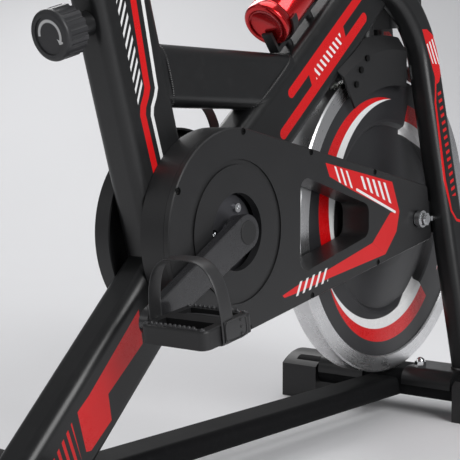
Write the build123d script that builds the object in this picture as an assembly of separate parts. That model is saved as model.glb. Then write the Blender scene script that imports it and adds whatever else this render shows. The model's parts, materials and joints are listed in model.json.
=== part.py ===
"""Indoor spin bike: welded tube frame, belt-driven flywheel, sliding saddle and handlebar posts.

Everything is drawn about the crank axis (X forward, Y to the rider's left, Z up, millimetres) and
moved at the end so that the origin is on the floor, under the middle of the bike's box.
"""
from build123d import *
import os
from math import atan2, cos, degrees, pi, radians, sin, sqrt, tan

# ---- driving dimensions (mm, degrees) ----
gap = 0.5                  # between painted pieces that only lie beside each other
fit = 0.05                 # radial running clearance of a shaft in its bearing
slide_fit = 0.4            # all round a post in its bush

axis_height = 283.0        # crank axis above the floor

tube_depth = 84.0          # flat-sided main tubes, in the bike's plane
tube_width = 46.0          # and across it
tube_corner = 13.0
tube_wall = 2.5

seat_lean = 17.0           # seat tube, back from the vertical
seat_tube_at = (-105.5, 159.0)   # a point of its centre line (X, Z)
seat_tube_top = 296.0      # height of its upper end above the crank axis
down_rise = 40.5           # down tube, up from the horizontal
down_tube_at = (0.0, 8.0)
stay_drop = 45.0           # rear stay, down from the horizontal
stay_at = (0.0, 10.0)
top_tube_depth = 68.0
top_tube_width = 44.0
top_tube_z = 171.0

head_lean = 6.0
head_at = (440.0, 255.0)   # centre of the head tube's lower end (X, Z)
head_length = 190.0

beam_width = 54.4
beam_height = 26.4
beam_corner = 9.0
beam_top = -232.7
foot_depth = 80.0          # oval tubes under both ends
foot_height = 37.0
foot_half = 152.0          # half their length without the caps
foot_x_front = 450.0
foot_x_rear = -248.0
foot_bottom = beam_top - beam_height

leg_depth = 46.0           # bent fork legs
leg_width = 33.0
leg_corner = 12.0
leg_wall = 2.0
leg_top_x = 449.0          # where the straight part ends and the bend starts
leg_top_y = 39.5
leg_top_z = 195.0
leg_foot_x = 463.0
leg_lean = 9.1             # both legs lean towards each other
leg_bend = 113.0           # radius of the bend that leads back to the down tube
leg_tail = 130.0

cap_length = 60.0
cap_wall = 4.0
wheel_r = 22.0             # transport wheels
wheel_width = 18.0
wheel_clear = 4.0          # above the floor while the bike stands

wheel_x = 391.0            # flywheel centre
wheel_z = -7.0
fly_r = 213.7
fly_rim = 22.4             # radial depth of the bare steel rim
fly_width = 31.8
fly_y = -4.3               # its middle plane
axle_r = 6.0
axle_half = 80.5
plate_y = 54.0             # inner face of the axle plates
plate_thick = 5.0

crank_length = 170.0
crank_angle = 208.5        # right crank at rest, from +X towards +Z
crank_thick = 12.3
crank_outer = 78.3         # outer face
crank_boss_r = 20.0
crank_end_r = 15.0
spindle_r = 10.0
shell_r = 25.0             # bottom bracket
shell_half = 36.0

cover_r = 115.4            # belt cover
cover_outer = 63.5         # its face
cover_seam = 56.0
cover_inner = 23.6
cover_wall = 2.5
cover_face = 3.5
cover_hole_r = 43.5
groove_r = 80.6
groove_width = 6.0
nose_top = (418.0, 37.0)   # front corners of the cover (X, Z)
nose_low = (433.0, -36.0)
window_high = ((119.0, 60.0), (270.0, 17.5))   # corners of the cover's window (X, Z)
window_low = ((119.0, -58.8), (270.0, -21.8))
left_cover_outer = 45.0
left_cover_inner = 23.6

belt_y = 38.0
belt_width = 12.0
belt_thick = 3.0
drive_r = 95.0             # pulley radii under the belt
driven_r = 27.0
bolt_circle = 29.0

pedal_length = 76.0
pedal_width = 84.0
pedal_height = 19.0
pedal_inner = 88.0
pedal_tilt = 8.7
pedal_bore = 5.0
strap_width = 18.0
strap_thick = 2.5
strap_x = -5.0             # behind the pedal's middle
strap_rise = 73.0          # of the loop above the pedal's middle

knob_r = 26.4
knob_length = 30.0
knob_flutes = 18
collar_r = 13.0
collar_length = 25.0
pin_r = 5.0
seat_knob_z = 220.5        # where its pin meets the seat tube's rear face
bush_wall = 4.0
bush_length = 140.0

post_top_z = 432.0         # seat post
post_low_z = 110.0
post_pitch = 20.0
rail_length = 150.0
rail_height = 34.0
rail_width = 44.0
saddle_length = 262.0
saddle_width = 212.0
saddle_thick = 62.0
saddle_z = 500.0           # underside of the saddle

bar_post_top = 640.0
bar_post_low = 285.0
bar_r = 12.5
bar_half = 215.0
bar_horn = 125.0
bar_rise = 38.0
grip_wall = 5.0

brake_x = 350.0            # the brake rod's vertical line
brake_rod_r = 6.0
sleeve_r = 11.0
brake_gap = 6.5            # pad to rim at rest
brake_travel = 6.0
knob_gap = 1.0

bottle_r = 30.0
bottle_length = 178.0
bottle_start = 250.0       # its base, along the down tube from the crank
bottle_lift = 88.0         # its axis above the tube's centre line

guard_half = 26.0          # wheel guard
guard_wall = 3.0
guard_low_r = 180.0
guard_side_r = 228.0
guard_top_r = 248.0
guard_rear = 125.0         # angle of its rear edge about the wheel
guard_front_x = 416.0


# ---- helpers ----
def bar(depth, width, corner, length):
    """A solid rounded bar along +Z from the origin, its depth along X."""
    return extrude(RectangleRounded(depth, width, corner), length)


def tube(depth, width, corner, wall, length):
    """The same, hollow and open at both ends."""
    inner = RectangleRounded(depth - 2 * wall, width - 2 * wall, max(corner - wall, 0.5))
    return extrude(RectangleRounded(depth, width, corner) - inner, length)


def along(x, z, rise):
    """A plane at (x, 0, z) whose normal lies in the bike's plane, `rise` degrees above +X."""
    up = (cos(radians(rise)), 0, sin(radians(rise)))
    across = (sin(radians(rise)), 0, -cos(radians(rise)))
    return Plane(origin=(x, 0, z), x_dir=across, z_dir=up)


def across(shape_2d, y_low, y_high):
    """Extrude a sketch drawn in (X, Z) from y_low to y_high."""
    plane = Plane(origin=(0, y_low, 0), x_dir=(1, 0, 0), z_dir=(0, -1, 0))
    return extrude(plane * shape_2d, y_high - y_low, dir=(0, 1, 0))


def disc(radius, x, z, y_low, y_high):
    """A cylinder across the bike."""
    return across(Pos(x, z) * Circle(radius), y_low, y_high)


def ring(outer, inner, x, z, y_low, y_high):
    """A hollow cylinder across the bike."""
    return across(Pos(x, z) * (Circle(outer) - Circle(inner)), y_low, y_high)


def mirror_y(shape):
    """The same piece on the other side of the bike."""
    return mirror(shape, about=Plane.XZ)


def group(shapes):
    """Separate solids that share a node."""
    solids = []
    for shape in shapes:
        solids += list(shape.solids())
    return Compound(children=solids)


def line_point(at, rise, distance):
    """The point `distance` along a line in the bike's plane."""
    return at[0] + distance * cos(radians(rise)), at[1] + distance * sin(radians(rise))


def hex_nut(radius, thick, bore):
    """A hexagonal nut along +Z."""
    return extrude(RegularPolygon(radius, 6) - Circle(bore), thick)


# ---- centre lines ----
seat_rise = 90 + seat_lean
head_rise = 90 + head_lean
stay_rise = 180 + stay_drop


def seat_point(z):
    """X of the seat tube's centre line at height z."""
    return seat_tube_at[0] - (z - seat_tube_at[1]) * tan(radians(seat_lean))


def head_point(z):
    """X of the head tube's centre line at height z."""
    return head_at[0] - (z - head_at[1]) * tan(radians(head_lean))


def seat_bar(grow=0.0):
    """The solid that the seat tube fills."""
    length = (seat_tube_top + 60) / cos(radians(seat_lean))
    solid = bar(tube_depth + 2 * grow, tube_width + 2 * grow, tube_corner, length)
    return along(seat_point(-60), -60, seat_rise) * solid


def head_bar():
    """The solid that the head tube fills."""
    return along(*head_at, head_rise) * bar(tube_depth - 6, tube_width, tube_corner, head_length)


def down_bar(grow=0.0):
    """The solid that the down tube fills, run on into the head tube."""
    length = (head_at[0] - down_tube_at[0]) / cos(radians(down_rise))
    solid = bar(tube_depth + 2 * grow, tube_width + 2 * grow, tube_corner, length)
    return along(*down_tube_at, down_rise) * solid


def stay_bar(grow=0.0):
    """The solid that the rear stay fills, down to the rear foot."""
    length = (stay_at[1] - foot_bottom) / sin(radians(stay_drop))
    solid = bar(tube_depth + 2 * grow, tube_width + 2 * grow, tube_corner, length)
    return along(*stay_at, stay_rise) * solid


def shell_bar(grow=0.0):
    """The bottom bracket's outside."""
    return disc(shell_r + grow, 0, 0, -shell_half, shell_half)


def foot_bar(x):
    """An oval foot tube's outside, lying across the bike."""
    section = Pos(x, foot_bottom + foot_height / 2) * RectangleRounded(foot_depth, foot_height,
                                                                      foot_height / 2 - 0.5)
    return across(section, -foot_half, foot_half)


# ---- frame ----
def bottom_bracket():
    """The shell, bored for the spindle's bearings."""
    return shell_bar() - disc(shell_r - 5, 0, 0, -shell_half - 1, shell_half + 1)


def down_tube():
    """Down tube with the sleeve that guides the brake rod."""
    length = (head_at[0] - down_tube_at[0]) / cos(radians(down_rise))
    hollow = along(*down_tube_at, down_rise) * tube(tube_depth, tube_width, tube_corner, tube_wall, length)
    mid = down_tube_at[1] + (brake_x - down_tube_at[0]) * tan(radians(down_rise))
    half = tube_depth / 2 / cos(radians(down_rise)) + 20
    place = Pos(brake_x, fly_y, mid - half)
    hollow = hollow + place * Cylinder(sleeve_r, 2 * half, align=(Align.CENTER, Align.CENTER, Align.MIN))
    hollow = hollow - place * Cylinder(brake_rod_r + slide_fit / 2, 2 * half,
                                       align=(Align.CENTER, Align.CENTER, Align.MIN))
    return largest(hollow - head_bar() - shell_bar())


def largest(shape):
    """The biggest solid of a trimmed piece; the offcuts are dropped."""
    return max(shape.solids(), key=lambda solid: solid.volume)


def seat_tube():
    """Seat tube, trimmed to the stay and down tube, with the pin's hole."""
    length = (seat_tube_top + 60) / cos(radians(seat_lean))
    hollow = tube(tube_depth, tube_width, tube_corner, tube_wall, length)
    hollow = along(seat_point(-60), -60, seat_rise) * hollow
    return largest(hollow - down_bar() - stay_bar() - shell_bar() - seat_pin_hole(pin_r + 1))


def rear_stay():
    """Rear stay, from the bottom bracket down to the rear foot."""
    length = (stay_at[1] - foot_bottom) / sin(radians(stay_drop))
    hollow = along(*stay_at, stay_rise) * tube(tube_depth, tube_width, tube_corner, tube_wall, length)
    below = Pos(foot_x_rear, 0, foot_bottom - 50) * Box(400, 200, 100)
    return largest(hollow - down_bar() - shell_bar() - foot_bar(foot_x_rear) - below)


def top_tube():
    """Top tube, trimmed between the seat tube and the down tube."""
    x_low = seat_point(top_tube_z)
    x_high = down_tube_at[0] + (top_tube_z - down_tube_at[1]) / tan(radians(down_rise))
    hollow = tube(top_tube_depth, top_tube_width, 14, 2, x_high - x_low)
    return largest(along(x_low, top_tube_z, 0) * hollow - seat_bar() - down_bar())


def head_tube():
    """Head tube with the hole for the handlebar pin."""
    hollow = tube(tube_depth - 6, tube_width, tube_corner, tube_wall, head_length)
    hollow = along(*head_at, head_rise) * hollow
    return largest(hollow - head_pin_hole(pin_r + 1))


def leg_point(x, run):
    """A point of the right leg's leaning plane, `run` above the start of its bend."""
    return x, -leg_top_y + run * sin(radians(leg_lean)), leg_top_z + run * cos(radians(leg_lean))


def leg_path():
    """Centre line of the right fork leg, from the down tube to the foot."""
    low = (saddle_top - 4 - leg_top_z) / cos(radians(leg_lean))
    corners = [leg_point(leg_top_x - leg_tail, leg_bend + 5), leg_point(leg_top_x - 4, leg_bend + 5),
               leg_point(leg_foot_x, low)]
    return FilletPolyline(*corners, radius=leg_bend)


def leg_sweep(depth, width, corner):
    """A rounded bar along the leg's path."""
    path = leg_path()
    up = (0, sin(radians(leg_lean)), cos(radians(leg_lean)))
    start = Plane(origin=path @ 0, x_dir=up, z_dir=path % 0)
    return sweep(start * RectangleRounded(depth, width, corner), path=path)


def axle_plate():
    """The plate that carries the flywheel's axle, seen from the side."""
    reach = leg_foot_x - 6 - wheel_x
    outline = Pos(wheel_x + reach / 2, wheel_z) * RectangleRounded(reach + 44, 44, 14)
    return outline - Pos(wheel_x, wheel_z) * SlotOverall(4 * axle_r, 2 * axle_r + 1)


def fork_leg_right():
    """Right leg: bent tube with its axle plate welded inside it."""
    solid = leg_sweep(leg_depth, leg_width, leg_corner)
    core = leg_sweep(leg_depth - 2 * leg_wall, leg_width - 2 * leg_wall, leg_corner - leg_wall)
    plate = across(axle_plate(), -plate_y - plate_thick, -plate_y) - core
    leg = (solid - core) + largest(plate)
    below = Pos(leg_foot_x, 0, saddle_top - 30) * Box(200, 400, 60)
    return largest(leg - head_bar() - down_bar() - below)


def base_beam():
    """Low beam between the two feet."""
    length = foot_x_front - foot_x_rear
    hollow = tube(beam_height, beam_width, beam_corner, 2, length)
    placed = along(foot_x_rear, beam_top - beam_height / 2, 0) * hollow
    return largest(placed - foot_bar(foot_x_front) - foot_bar(foot_x_rear) - stay_bar())


def foot(x):
    """An oval foot tube."""
    inner = RectangleRounded(foot_depth - 4, foot_height - 4, foot_height / 2 - 2.5)
    middle = Pos(x, foot_bottom + foot_height / 2)
    return foot_bar(x) - across(middle * inner, -foot_half - 1, foot_half + 1)


saddle_thick_plate = 5.0
saddle_top = foot_bottom + foot_height + saddle_thick_plate
saddle_from = 32.0         # the saddle plates' inner ends, from the middle
saddle_to = 108.0


def foot_saddle(side):
    """A bent plate that sits over the front foot and carries one leg."""
    radius = foot_height / 2 - 0.5
    top = Pos(foot_x_front, foot_bottom + foot_height / 2 + saddle_thick_plate / 2)
    outer = top * RectangleRounded(foot_depth + 6, foot_height + saddle_thick_plate, radius)
    low = Pos(foot_x_front, foot_bottom + 4) * Rectangle(foot_depth + 20, foot_height - 8)
    outline = outer - low
    plate = across(outline, saddle_from, saddle_to) - foot_bar(foot_x_front)
    plate = largest(plate)
    plate = plate - Pos(foot_x_front - 14, saddle_from + 14, saddle_top) * Cylinder(4.2, 60)
    return plate if side > 0 else mirror_y(plate)


def foot_bolts():
    """Chrome carriage bolts with dome nuts that hold the saddles down."""
    shapes = []
    for side in (-1, 1):
        place = Pos(foot_x_front - 14, side * (saddle_from + 14), saddle_top)
        nut = place * (hex_nut(8, 6, 0.01) + Pos(0, 0, 6) * Sphere(6.2))
        shapes.append(nut - place * Pos(0, 0, -10) * Box(40, 40, 20))
    return group(shapes)


def cap_outline(x, grow):
    """Side view of a foot cap: straight sides, domed top, flat base."""
    half = foot_depth / 2 + grow
    top = foot_bottom + foot_height + grow
    with BuildSketch() as sketch:
        with BuildLine():
            low = Polyline((x - half, top - 16), (x - half, -axis_height), (x + half, -axis_height),
                           (x + half, top - 16))
            ThreePointArc(low @ 1, (x, top), low @ 0)
        make_face()
    return sketch.sketch


def foot_cap(x, side, with_wheel):
    """End cap: it closes the tube, stands on the floor and may carry a transport wheel."""
    start = foot_half - 40
    body = across(cap_outline(x, cap_wall), start, start + cap_length)
    pocket = foot_bar(x)
    cap = body - pocket
    if with_wheel:
        spin_x, spin_z = transport_centre()
        ears = Pos(spin_x - 8, spin_z + 2) * RectangleRounded(36, 22, 9)
        cap = cap + across(ears, start + 8, start + cap_length - 6)
        room = wheel_r + 3
        cap = cap - disc(room, spin_x, spin_z, start + 20, start + 20 + wheel_width + 2)
        cap = cap - disc(4.05, spin_x, spin_z, start - 1, start + cap_length + 1)
        cap = cap + disc(4.0, spin_x, spin_z, start + 8, start + cap_length - 6)
    cap = largest(cap - pocket)
    return cap if side > 0 else mirror_y(cap)


def transport_centre():
    """X and Z of the transport wheels' axis."""
    return foot_x_front + foot_depth / 2 + 20, -axis_height + wheel_clear + wheel_r


def transport_wheel(side):
    """Solid rubber-tyred wheel on the front cap."""
    spin_x, spin_z = transport_centre()
    start = foot_half - 40 + 21
    wheel = ring(wheel_r, 4.0 + fit, spin_x, spin_z, start, start + wheel_width)
    wheel = fillet(wheel.edges().filter_by(GeomType.CIRCLE).filter_by(lambda e: e.radius > 10), 2.5)
    return wheel if side > 0 else mirror_y(wheel)


# ---- drive ----
def crank_bearings():
    """Two sealed bearings pressed into the shell."""
    shapes = []
    for side in (-1, 1):
        low = side * (shell_half - 6) - 6
        shapes.append(ring(shell_r - 5, spindle_r + fit, 0, 0, low, low + 12))
    return group(shapes)


def crank_spindle():
    """Spindle through both cranks."""
    return disc(spindle_r, 0, 0, -crank_outer + 2, crank_outer - 2)


def crank_end(side):
    """Centre of a pedal's spindle."""
    turn = radians(crank_angle if side < 0 else crank_angle + 180)
    return crank_length * cos(turn), crank_length * sin(turn)


def crank(side):
    """Tapered crank arm; side is -1 on the right."""
    end_x, end_z = crank_end(side)
    turn = degrees(atan2(end_z, end_x))
    lean = degrees(atan2(crank_boss_r - crank_end_r, crank_length))
    corners = []
    for radius, x, z, sign in ((crank_boss_r, 0, 0, 1), (crank_end_r, end_x, end_z, 1),
                               (crank_end_r, end_x, end_z, -1), (crank_boss_r, 0, 0, -1)):
        angle = radians(turn + sign * (90 - lean))
        corners.append((x + radius * cos(angle), z + radius * sin(angle)))
    outline = Polygon(*corners, align=None) + Circle(crank_boss_r) + Pos(end_x, end_z) * Circle(crank_end_r)
    arm = across(outline, crank_outer - crank_thick, crank_outer)
    arm = arm + disc(crank_boss_r - 1, 0, 0, crank_outer - crank_thick - 6, crank_outer - crank_thick)
    arm = chamfer(arm.faces().sort_by(Axis.Y)[-1].edges(), 1.2)
    arm = arm - disc(spindle_r, 0, 0, 0, crank_outer - 2) - disc(pedal_bore + 2, end_x, end_z, 0, 200)
    arm = arm - disc(crank_boss_r - 6.5, 0, 0, crank_outer - 2, 200)
    arm = largest(arm)
    return arm if side > 0 else mirror_y(arm)


def crank_caps():
    """Dust caps over the crank bolts."""
    cap = disc(crank_boss_r - 6.6, 0, 0, crank_outer - 2, crank_outer + 1)
    cap = fillet(cap.faces().sort_by(Axis.Y)[-1].edges(), 0.8)
    return group([cap, mirror_y(cap)])


def pedal_spindles():
    """Pedal axles screwed into the crank ends."""
    shapes = []
    for side in (-1, 1):
        x, z = crank_end(side)
        thick = disc(pedal_bore + 2, x, z, crank_outer - crank_thick + 0.5, pedal_inner - 1.5)
        thin = disc(pedal_bore, x, z, pedal_inner - 1.5, pedal_inner + pedal_width - 6)
        pin = thick + thin
        shapes.append(pin if side > 0 else mirror_y(pin))
    return group(shapes)


def drive_pulley():
    """Large pulley: rim, web and the raised carrier that its bolts clamp."""
    low = -belt_y - belt_width / 2 - 1.5
    high = -belt_y + belt_width / 2 + 1.5
    rim = ring(drive_r, drive_r - 8, 0, 0, low, high)
    flange = ring(drive_r + 4, drive_r - 8, 0, 0, low, low + 1.5)
    flange = flange + ring(drive_r + 4, drive_r - 8, 0, 0, high - 1.5, high)
    web = ring(drive_r - 7, spindle_r, 0, 0, -belt_y - 3, -belt_y + 1)
    carrier = ring(cover_hole_r - 2, spindle_r, 0, 0, low - 4, -belt_y - 2)
    pulley = rim + flange + web + carrier
    for step in range(6):
        angle = radians(30 + 60 * step)
        pulley = pulley - disc(14, 66 * cos(angle), 66 * sin(angle), low - 10, high + 10)
    for x, z in bolt_places():
        pulley = pulley - disc(3.0, x, z, low - 10, high + 10)
    return pulley


def bolt_places():
    """The three carrier bolts, (X, Z)."""
    return [(bolt_circle * cos(radians(a)), bolt_circle * sin(radians(a))) for a in (63, 183, 303)]


def pulley_bolts():
    """Bright socket bolts in the carrier."""
    face = -belt_y - belt_width / 2 - 5.5
    shapes = []
    for x, z in bolt_places():
        bolt = disc(3.0, x, z, face, face + 8) + disc(5.2, x, z, face - 4, face)
        bolt = bolt - across(Pos(x, z) * RegularPolygon(2.6, 6), face - 5, face - 1.5)
        shapes.append(bolt)
    return group(shapes)


def belt_outline(grow):
    """The belt's path round both pulleys, from the side."""
    ends = Circle(drive_r + grow).edges() + (Pos(wheel_x, wheel_z) * Circle(driven_r + grow)).edges()
    return make_hull(ends)


def drive_belt():
    """Ribbed belt round both pulleys."""
    loop = belt_outline(belt_thick + 0.3) - belt_outline(0.3)
    return across(loop, -belt_y - belt_width / 2, -belt_y + belt_width / 2)


def driven_pulley():
    """Small pulley on the flywheel's hub."""
    low = -belt_y - belt_width / 2 - 1.5
    high = -belt_y + belt_width / 2 + 1.5
    pulley = ring(driven_r, axle_r + 6, wheel_x, wheel_z, low, hub_face)
    pulley = pulley + ring(driven_r + 3.5, axle_r + 6, wheel_x, wheel_z, low, low + 1.5)
    return pulley + ring(driven_r + 3.5, axle_r + 6, wheel_x, wheel_z, high - 1.5, high)


# ---- flywheel ----
fly_low = fly_y - fly_width / 2
fly_high = fly_y + fly_width / 2
hub_face = fly_low - 2.0
hub_r = 34.0


def turned(points):
    """Revolve an outline of (radius, Y) points about the flywheel's axis."""
    with BuildSketch(Plane.XY) as sketch:
        with BuildLine():
            Polyline(*points, close=True)
        make_face()
    solid = revolve(sketch.sketch, axis=Axis.Y, revolution_arc=360)
    return Pos(wheel_x, 0, wheel_z) * solid


def flywheel_rim():
    """Bare steel rim with broken edges and a bead inside its face."""
    inner = fly_r - fly_rim
    points = [(inner, fly_low + 2), (inner + 1.5, fly_low), (fly_r - 2, fly_low), (fly_r, fly_low + 2),
              (fly_r, fly_high - 2), (fly_r - 2, fly_high), (inner + 1.5, fly_high), (inner, fly_high - 2)]
    return turned(points)


def flywheel_disc():
    """Painted web: flat outer band, dished middle and hub."""
    inner = fly_r - fly_rim
    bore = axle_r + 9.0
    points = [(bore, hub_face), (hub_r, hub_face), (hub_r + 4, fly_low + 3), (70, fly_low + 5),
              (100, fly_low + 8), (126, fly_low + 11), (131, fly_low + 4), (135, fly_low + 3),
              (inner, fly_low + 3),
              (inner, fly_high - 3), (135, fly_high - 3), (131, fly_high - 4), (126, fly_high - 11),
              (100, fly_high - 8), (70, fly_high - 5), (hub_r + 4, fly_high - 3), (hub_r, fly_high + 6),
              (bore, fly_high + 6)]
    return turned(points)


def wheel_bearings():
    """Two bearings in the flywheel's hub."""
    shapes = []
    for low in (hub_face + 2, fly_high - 8):
        shapes.append(ring(axle_r + 9.0, axle_r + fit, wheel_x, wheel_z, low, low + 11))
    return group(shapes)


def flywheel_axle():
    """Fixed axle held in both plates."""
    return disc(axle_r, wheel_x, wheel_z, -axle_half, axle_half)


def axle_hardware():
    """On each side a spacer, an eye bolt that pulls the axle forward, its lock nut and the axle's nut."""
    shapes = []
    eye = cover_outer + 3.6
    for side in (-1, 1):
        loop = ring(11.5, axle_r, wheel_x, wheel_z, eye, eye + 6)
        reach = leg_top_x - leg_depth / 2 - wheel_x - 4
        rod = Pos(wheel_x + 10, eye + 3, wheel_z) * Rot(0, 90, 0) * Cylinder(
            3, reach, align=(Align.CENTER, Align.CENTER, Align.MIN))
        lock = Pos(wheel_x + 17, eye + 3, wheel_z) * Rot(0, 90, 0) * hex_nut(6.2, 5, 2.5)
        nut = Pos(wheel_x, eye + 6, wheel_z) * Rot(-90, 0, 0) * hex_nut(9.5, 5.5, axle_r - 0.01)
        eye_bolt = (loop + (rod - disc(axle_r, wheel_x, wheel_z, 0, 200))) + lock
        spacer = ring(axle_r + 4, axle_r, wheel_x, wheel_z, plate_y + plate_thick, eye)
        inner = ring(axle_r + 4, axle_r, wheel_x, wheel_z, plate_y - 5, plate_y)
        for piece in (eye_bolt + nut, spacer, inner):
            piece = piece - disc(axle_r, wheel_x, wheel_z, 0, 200)
            shapes.append(piece if side > 0 else mirror_y(piece))
    return group(shapes)


# ---- covers ----
def tangent_corner(point, sign):
    """Where the straight edge through `point` touches the cover's round end."""
    distance = sqrt(point[0] ** 2 + point[1] ** 2)
    base = atan2(point[1], point[0])
    swing = sign * (pi / 2 - atan2(cover_r, sqrt(distance ** 2 - cover_r ** 2)))
    return cover_r * cos(base + swing), cover_r * sin(base + swing)


def cover_outline(grow=0.0):
    """Side view of the belt cover: round behind, tapering to a short blunt nose."""
    top = tangent_corner(nose_top, 1)
    low = tangent_corner(nose_low, -1)
    shape = Polygon(top, low, nose_low, nose_top, align=None)
    shape = fillet(shape.vertices().sort_by(Axis.X)[-2:], 7) + Circle(cover_r)
    return offset(shape, amount=grow) if grow else shape


def window_outline(grow=0.0):
    """Rounded opening between the belt's two runs."""
    shape = Polygon(window_high[0], window_high[1], window_low[1], window_low[0], align=None)
    shape = fillet(shape.vertices(), 14)
    return offset(shape, amount=grow) if grow else shape


def screw_places():
    """Where the cover's screws sit, (X, Z), just inside its edge."""
    inset = cover_r - 4.0
    round_end = [(inset * cos(radians(a)), inset * sin(radians(a))) for a in (154, 85, 281, 215)]
    straight = []
    for corner, sign in ((nose_top, 1), (nose_low, -1)):
        start = tangent_corner(corner, sign)
        for share in (0.30, 0.66):
            x = start[0] + share * (corner[0] - start[0])
            z = start[1] + share * (corner[1] - start[1])
            straight.append((x, z - sign * 4.0))
    return round_end + straight


def belt_cover_outer():
    """Outer shell: face with its round groove, hub opening, window and screw pockets."""
    shell = across(cover_outline(), -cover_outer, -cover_seam)
    shell = chamfer(shell.faces().sort_by(Axis.Y)[0].edges(), 1.2)
    shell = shell - across(cover_outline(-cover_wall), -cover_outer + cover_face, -cover_seam + 1)
    shell = shell - disc(cover_hole_r, 0, 0, -cover_outer - 1, -cover_seam + 1)
    shell = shell - ring(groove_r, groove_r - groove_width, 0, 0, -cover_outer - 1, -cover_outer + 1.8)
    lip = ring(cover_hole_r + 3, cover_hole_r, 0, 0, -cover_outer + cover_face - 1, -cover_outer + 10)
    tunnel = window_outline(cover_wall) - window_outline()
    tunnel = across(tunnel, -cover_outer + 1.2, -cover_inner)
    shell = shell - across(window_outline(), -cover_outer - 1, 0) + lip + tunnel
    for x, z in screw_places():
        shell = shell + (disc(6, x, z, -cover_outer + 2, -cover_seam) & across(cover_outline(-0.6), -100, 0))
        shell = shell - disc(4.0, x, z, -cover_outer - 1, -cover_outer + 3.5)
    shell = shell - disc(axle_r + 5, wheel_x, wheel_z, -cover_outer - 1, -cover_seam + 1)
    return largest(shell - nose_notch())


def nose_notch():
    """Room in the cover's nose for the axle plate."""
    low_x = wheel_x - 26
    room = Pos((low_x + 480) / 2, wheel_z) * Rectangle(480 - low_x, 44 + 2)
    return across(room, -plate_y - plate_thick - 1, -plate_y + 1)


def belt_cover_inner():
    """Inner shell: the band round the drive and its back wall."""
    shell = across(cover_outline(), -cover_seam + 0.3, -cover_inner)
    shell = shell - across(cover_outline(-cover_wall), -cover_seam, -cover_inner - cover_wall)
    shell = shell - across(window_outline(cover_wall + gap), -80, 0)
    shell = shell - disc(shell_r + 8, 0, 0, -80, 0) - disc(hub_r + 6, wheel_x, wheel_z, -80, 0)
    for x, z in screw_places():
        post = disc(5, x, z, -cover_seam + 0.3, -cover_inner) & across(cover_outline(-0.6), -100, 0)
        shell = shell + post
    return largest(shell - nose_notch())


def cover_screws():
    """Small black pan-head screws: cover, wheel guard and bottle cage."""
    shapes = []
    for x, z in screw_places():
        head = disc(3.4, x, z, -cover_outer + 1.2, -cover_outer + 3.5)
        shapes.append(head - across(Pos(x, z) * Rectangle(4, 0.9), -cover_outer, -cover_outer + 2.2))
    for x, z in guard_screw_places():
        for face, out in ((fly_y - guard_half, -1), (fly_y + guard_half, 1)):
            low = min(face, face + out * 2.6)
            shapes.append(disc(4.2, x, z, low, low + 2.6))
    return group(shapes)


def left_cover():
    """Round cover on the left: a shallow cup open towards the frame."""
    cup = disc(cover_r, 0, 0, left_cover_inner, left_cover_outer)
    cup = fillet(cup.faces().sort_by(Axis.Y)[-1].edges(), 2)
    cup = cup - disc(cover_r - cover_wall, 0, 0, left_cover_inner - 1, left_cover_outer - 3)
    groove = ring(groove_r, groove_r - groove_width, 0, 0, left_cover_outer - 1.4, 100)
    return cup - disc(cover_hole_r, 0, 0, 0, 100) - groove


def guard_screw_places():
    """Three screws along the guard's rear edge, (X, Z)."""
    places = []
    for angle, radius in ((110, 227), (115, 218), (120, 206)):
        places.append((wheel_x + radius * cos(radians(angle)), wheel_z + radius * sin(radians(angle))))
    return places


def guard_shell(side, low_r, roof_r, half, flat):
    """A ring about the flywheel: straight sides, then slopes up to a narrow flat roof."""
    points = [(low_r, fly_y - half), (side, fly_y - half), (roof_r, fly_y - flat), (roof_r, fly_y + flat),
              (side, fly_y + half), (low_r, fly_y + half)]
    return turned(points)


def wheel_guard():
    """Guard over the flywheel's top, hung under the down tube; open below."""
    outer = guard_shell(guard_side_r, guard_low_r, guard_top_r, guard_half, 12)
    inner = guard_shell(guard_side_r - 1, guard_low_r - 5, guard_top_r - guard_wall,
                        guard_half - guard_wall, 10.5)
    rear = (wheel_x + 400 * cos(radians(guard_rear)), wheel_z + 400 * sin(radians(guard_rear)))
    sector = Polygon((wheel_x, wheel_z), (guard_front_x, wheel_z), (guard_front_x, rear[1]), rear, align=None)
    body = (outer - inner) & across(sector, -60, 60)
    low = down_tube_at[1] + brake_x * tan(radians(down_rise))
    body = body - Pos(brake_x, fly_y, low - 60) * Cylinder(sleeve_r + 1, 90)
    return largest(body - down_bar(gap))


# ---- brake ----
def rim_top(x, grow=0.0):
    """Height of the flywheel's rim above the crank axis at x."""
    return wheel_z + sqrt((fly_r + grow) ** 2 - (x - wheel_x) ** 2)


def brake_pad():
    """Felt pad shaped to the rim."""
    block = Pos(brake_x, fly_y, pad_top() - 12) * Box(40, 24, 24)
    return largest(block - disc(fly_r + brake_gap, wheel_x, wheel_z, -60, 60))


def pad_top():
    """Height of the pad's flat back."""
    return rim_top(brake_x, brake_gap) + 9


def brake_top():
    """Height of the brake rod's upper end."""
    return down_tube_at[1] + brake_x * tan(radians(down_rise)) + tube_depth / 2 / cos(radians(down_rise)) + 27


def brake_rod():
    """Threaded rod with the metal shoe that holds the pad."""
    low = pad_top()
    shoe = Pos(brake_x, fly_y, low + 1.5) * Box(40, 26, 3)
    rod = Pos(brake_x, fly_y, low + 3) * Cylinder(brake_rod_r, brake_top() + 10 - low - 3,
                                                  align=(Align.CENTER, Align.CENTER, Align.MIN))
    return shoe + rod


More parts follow.
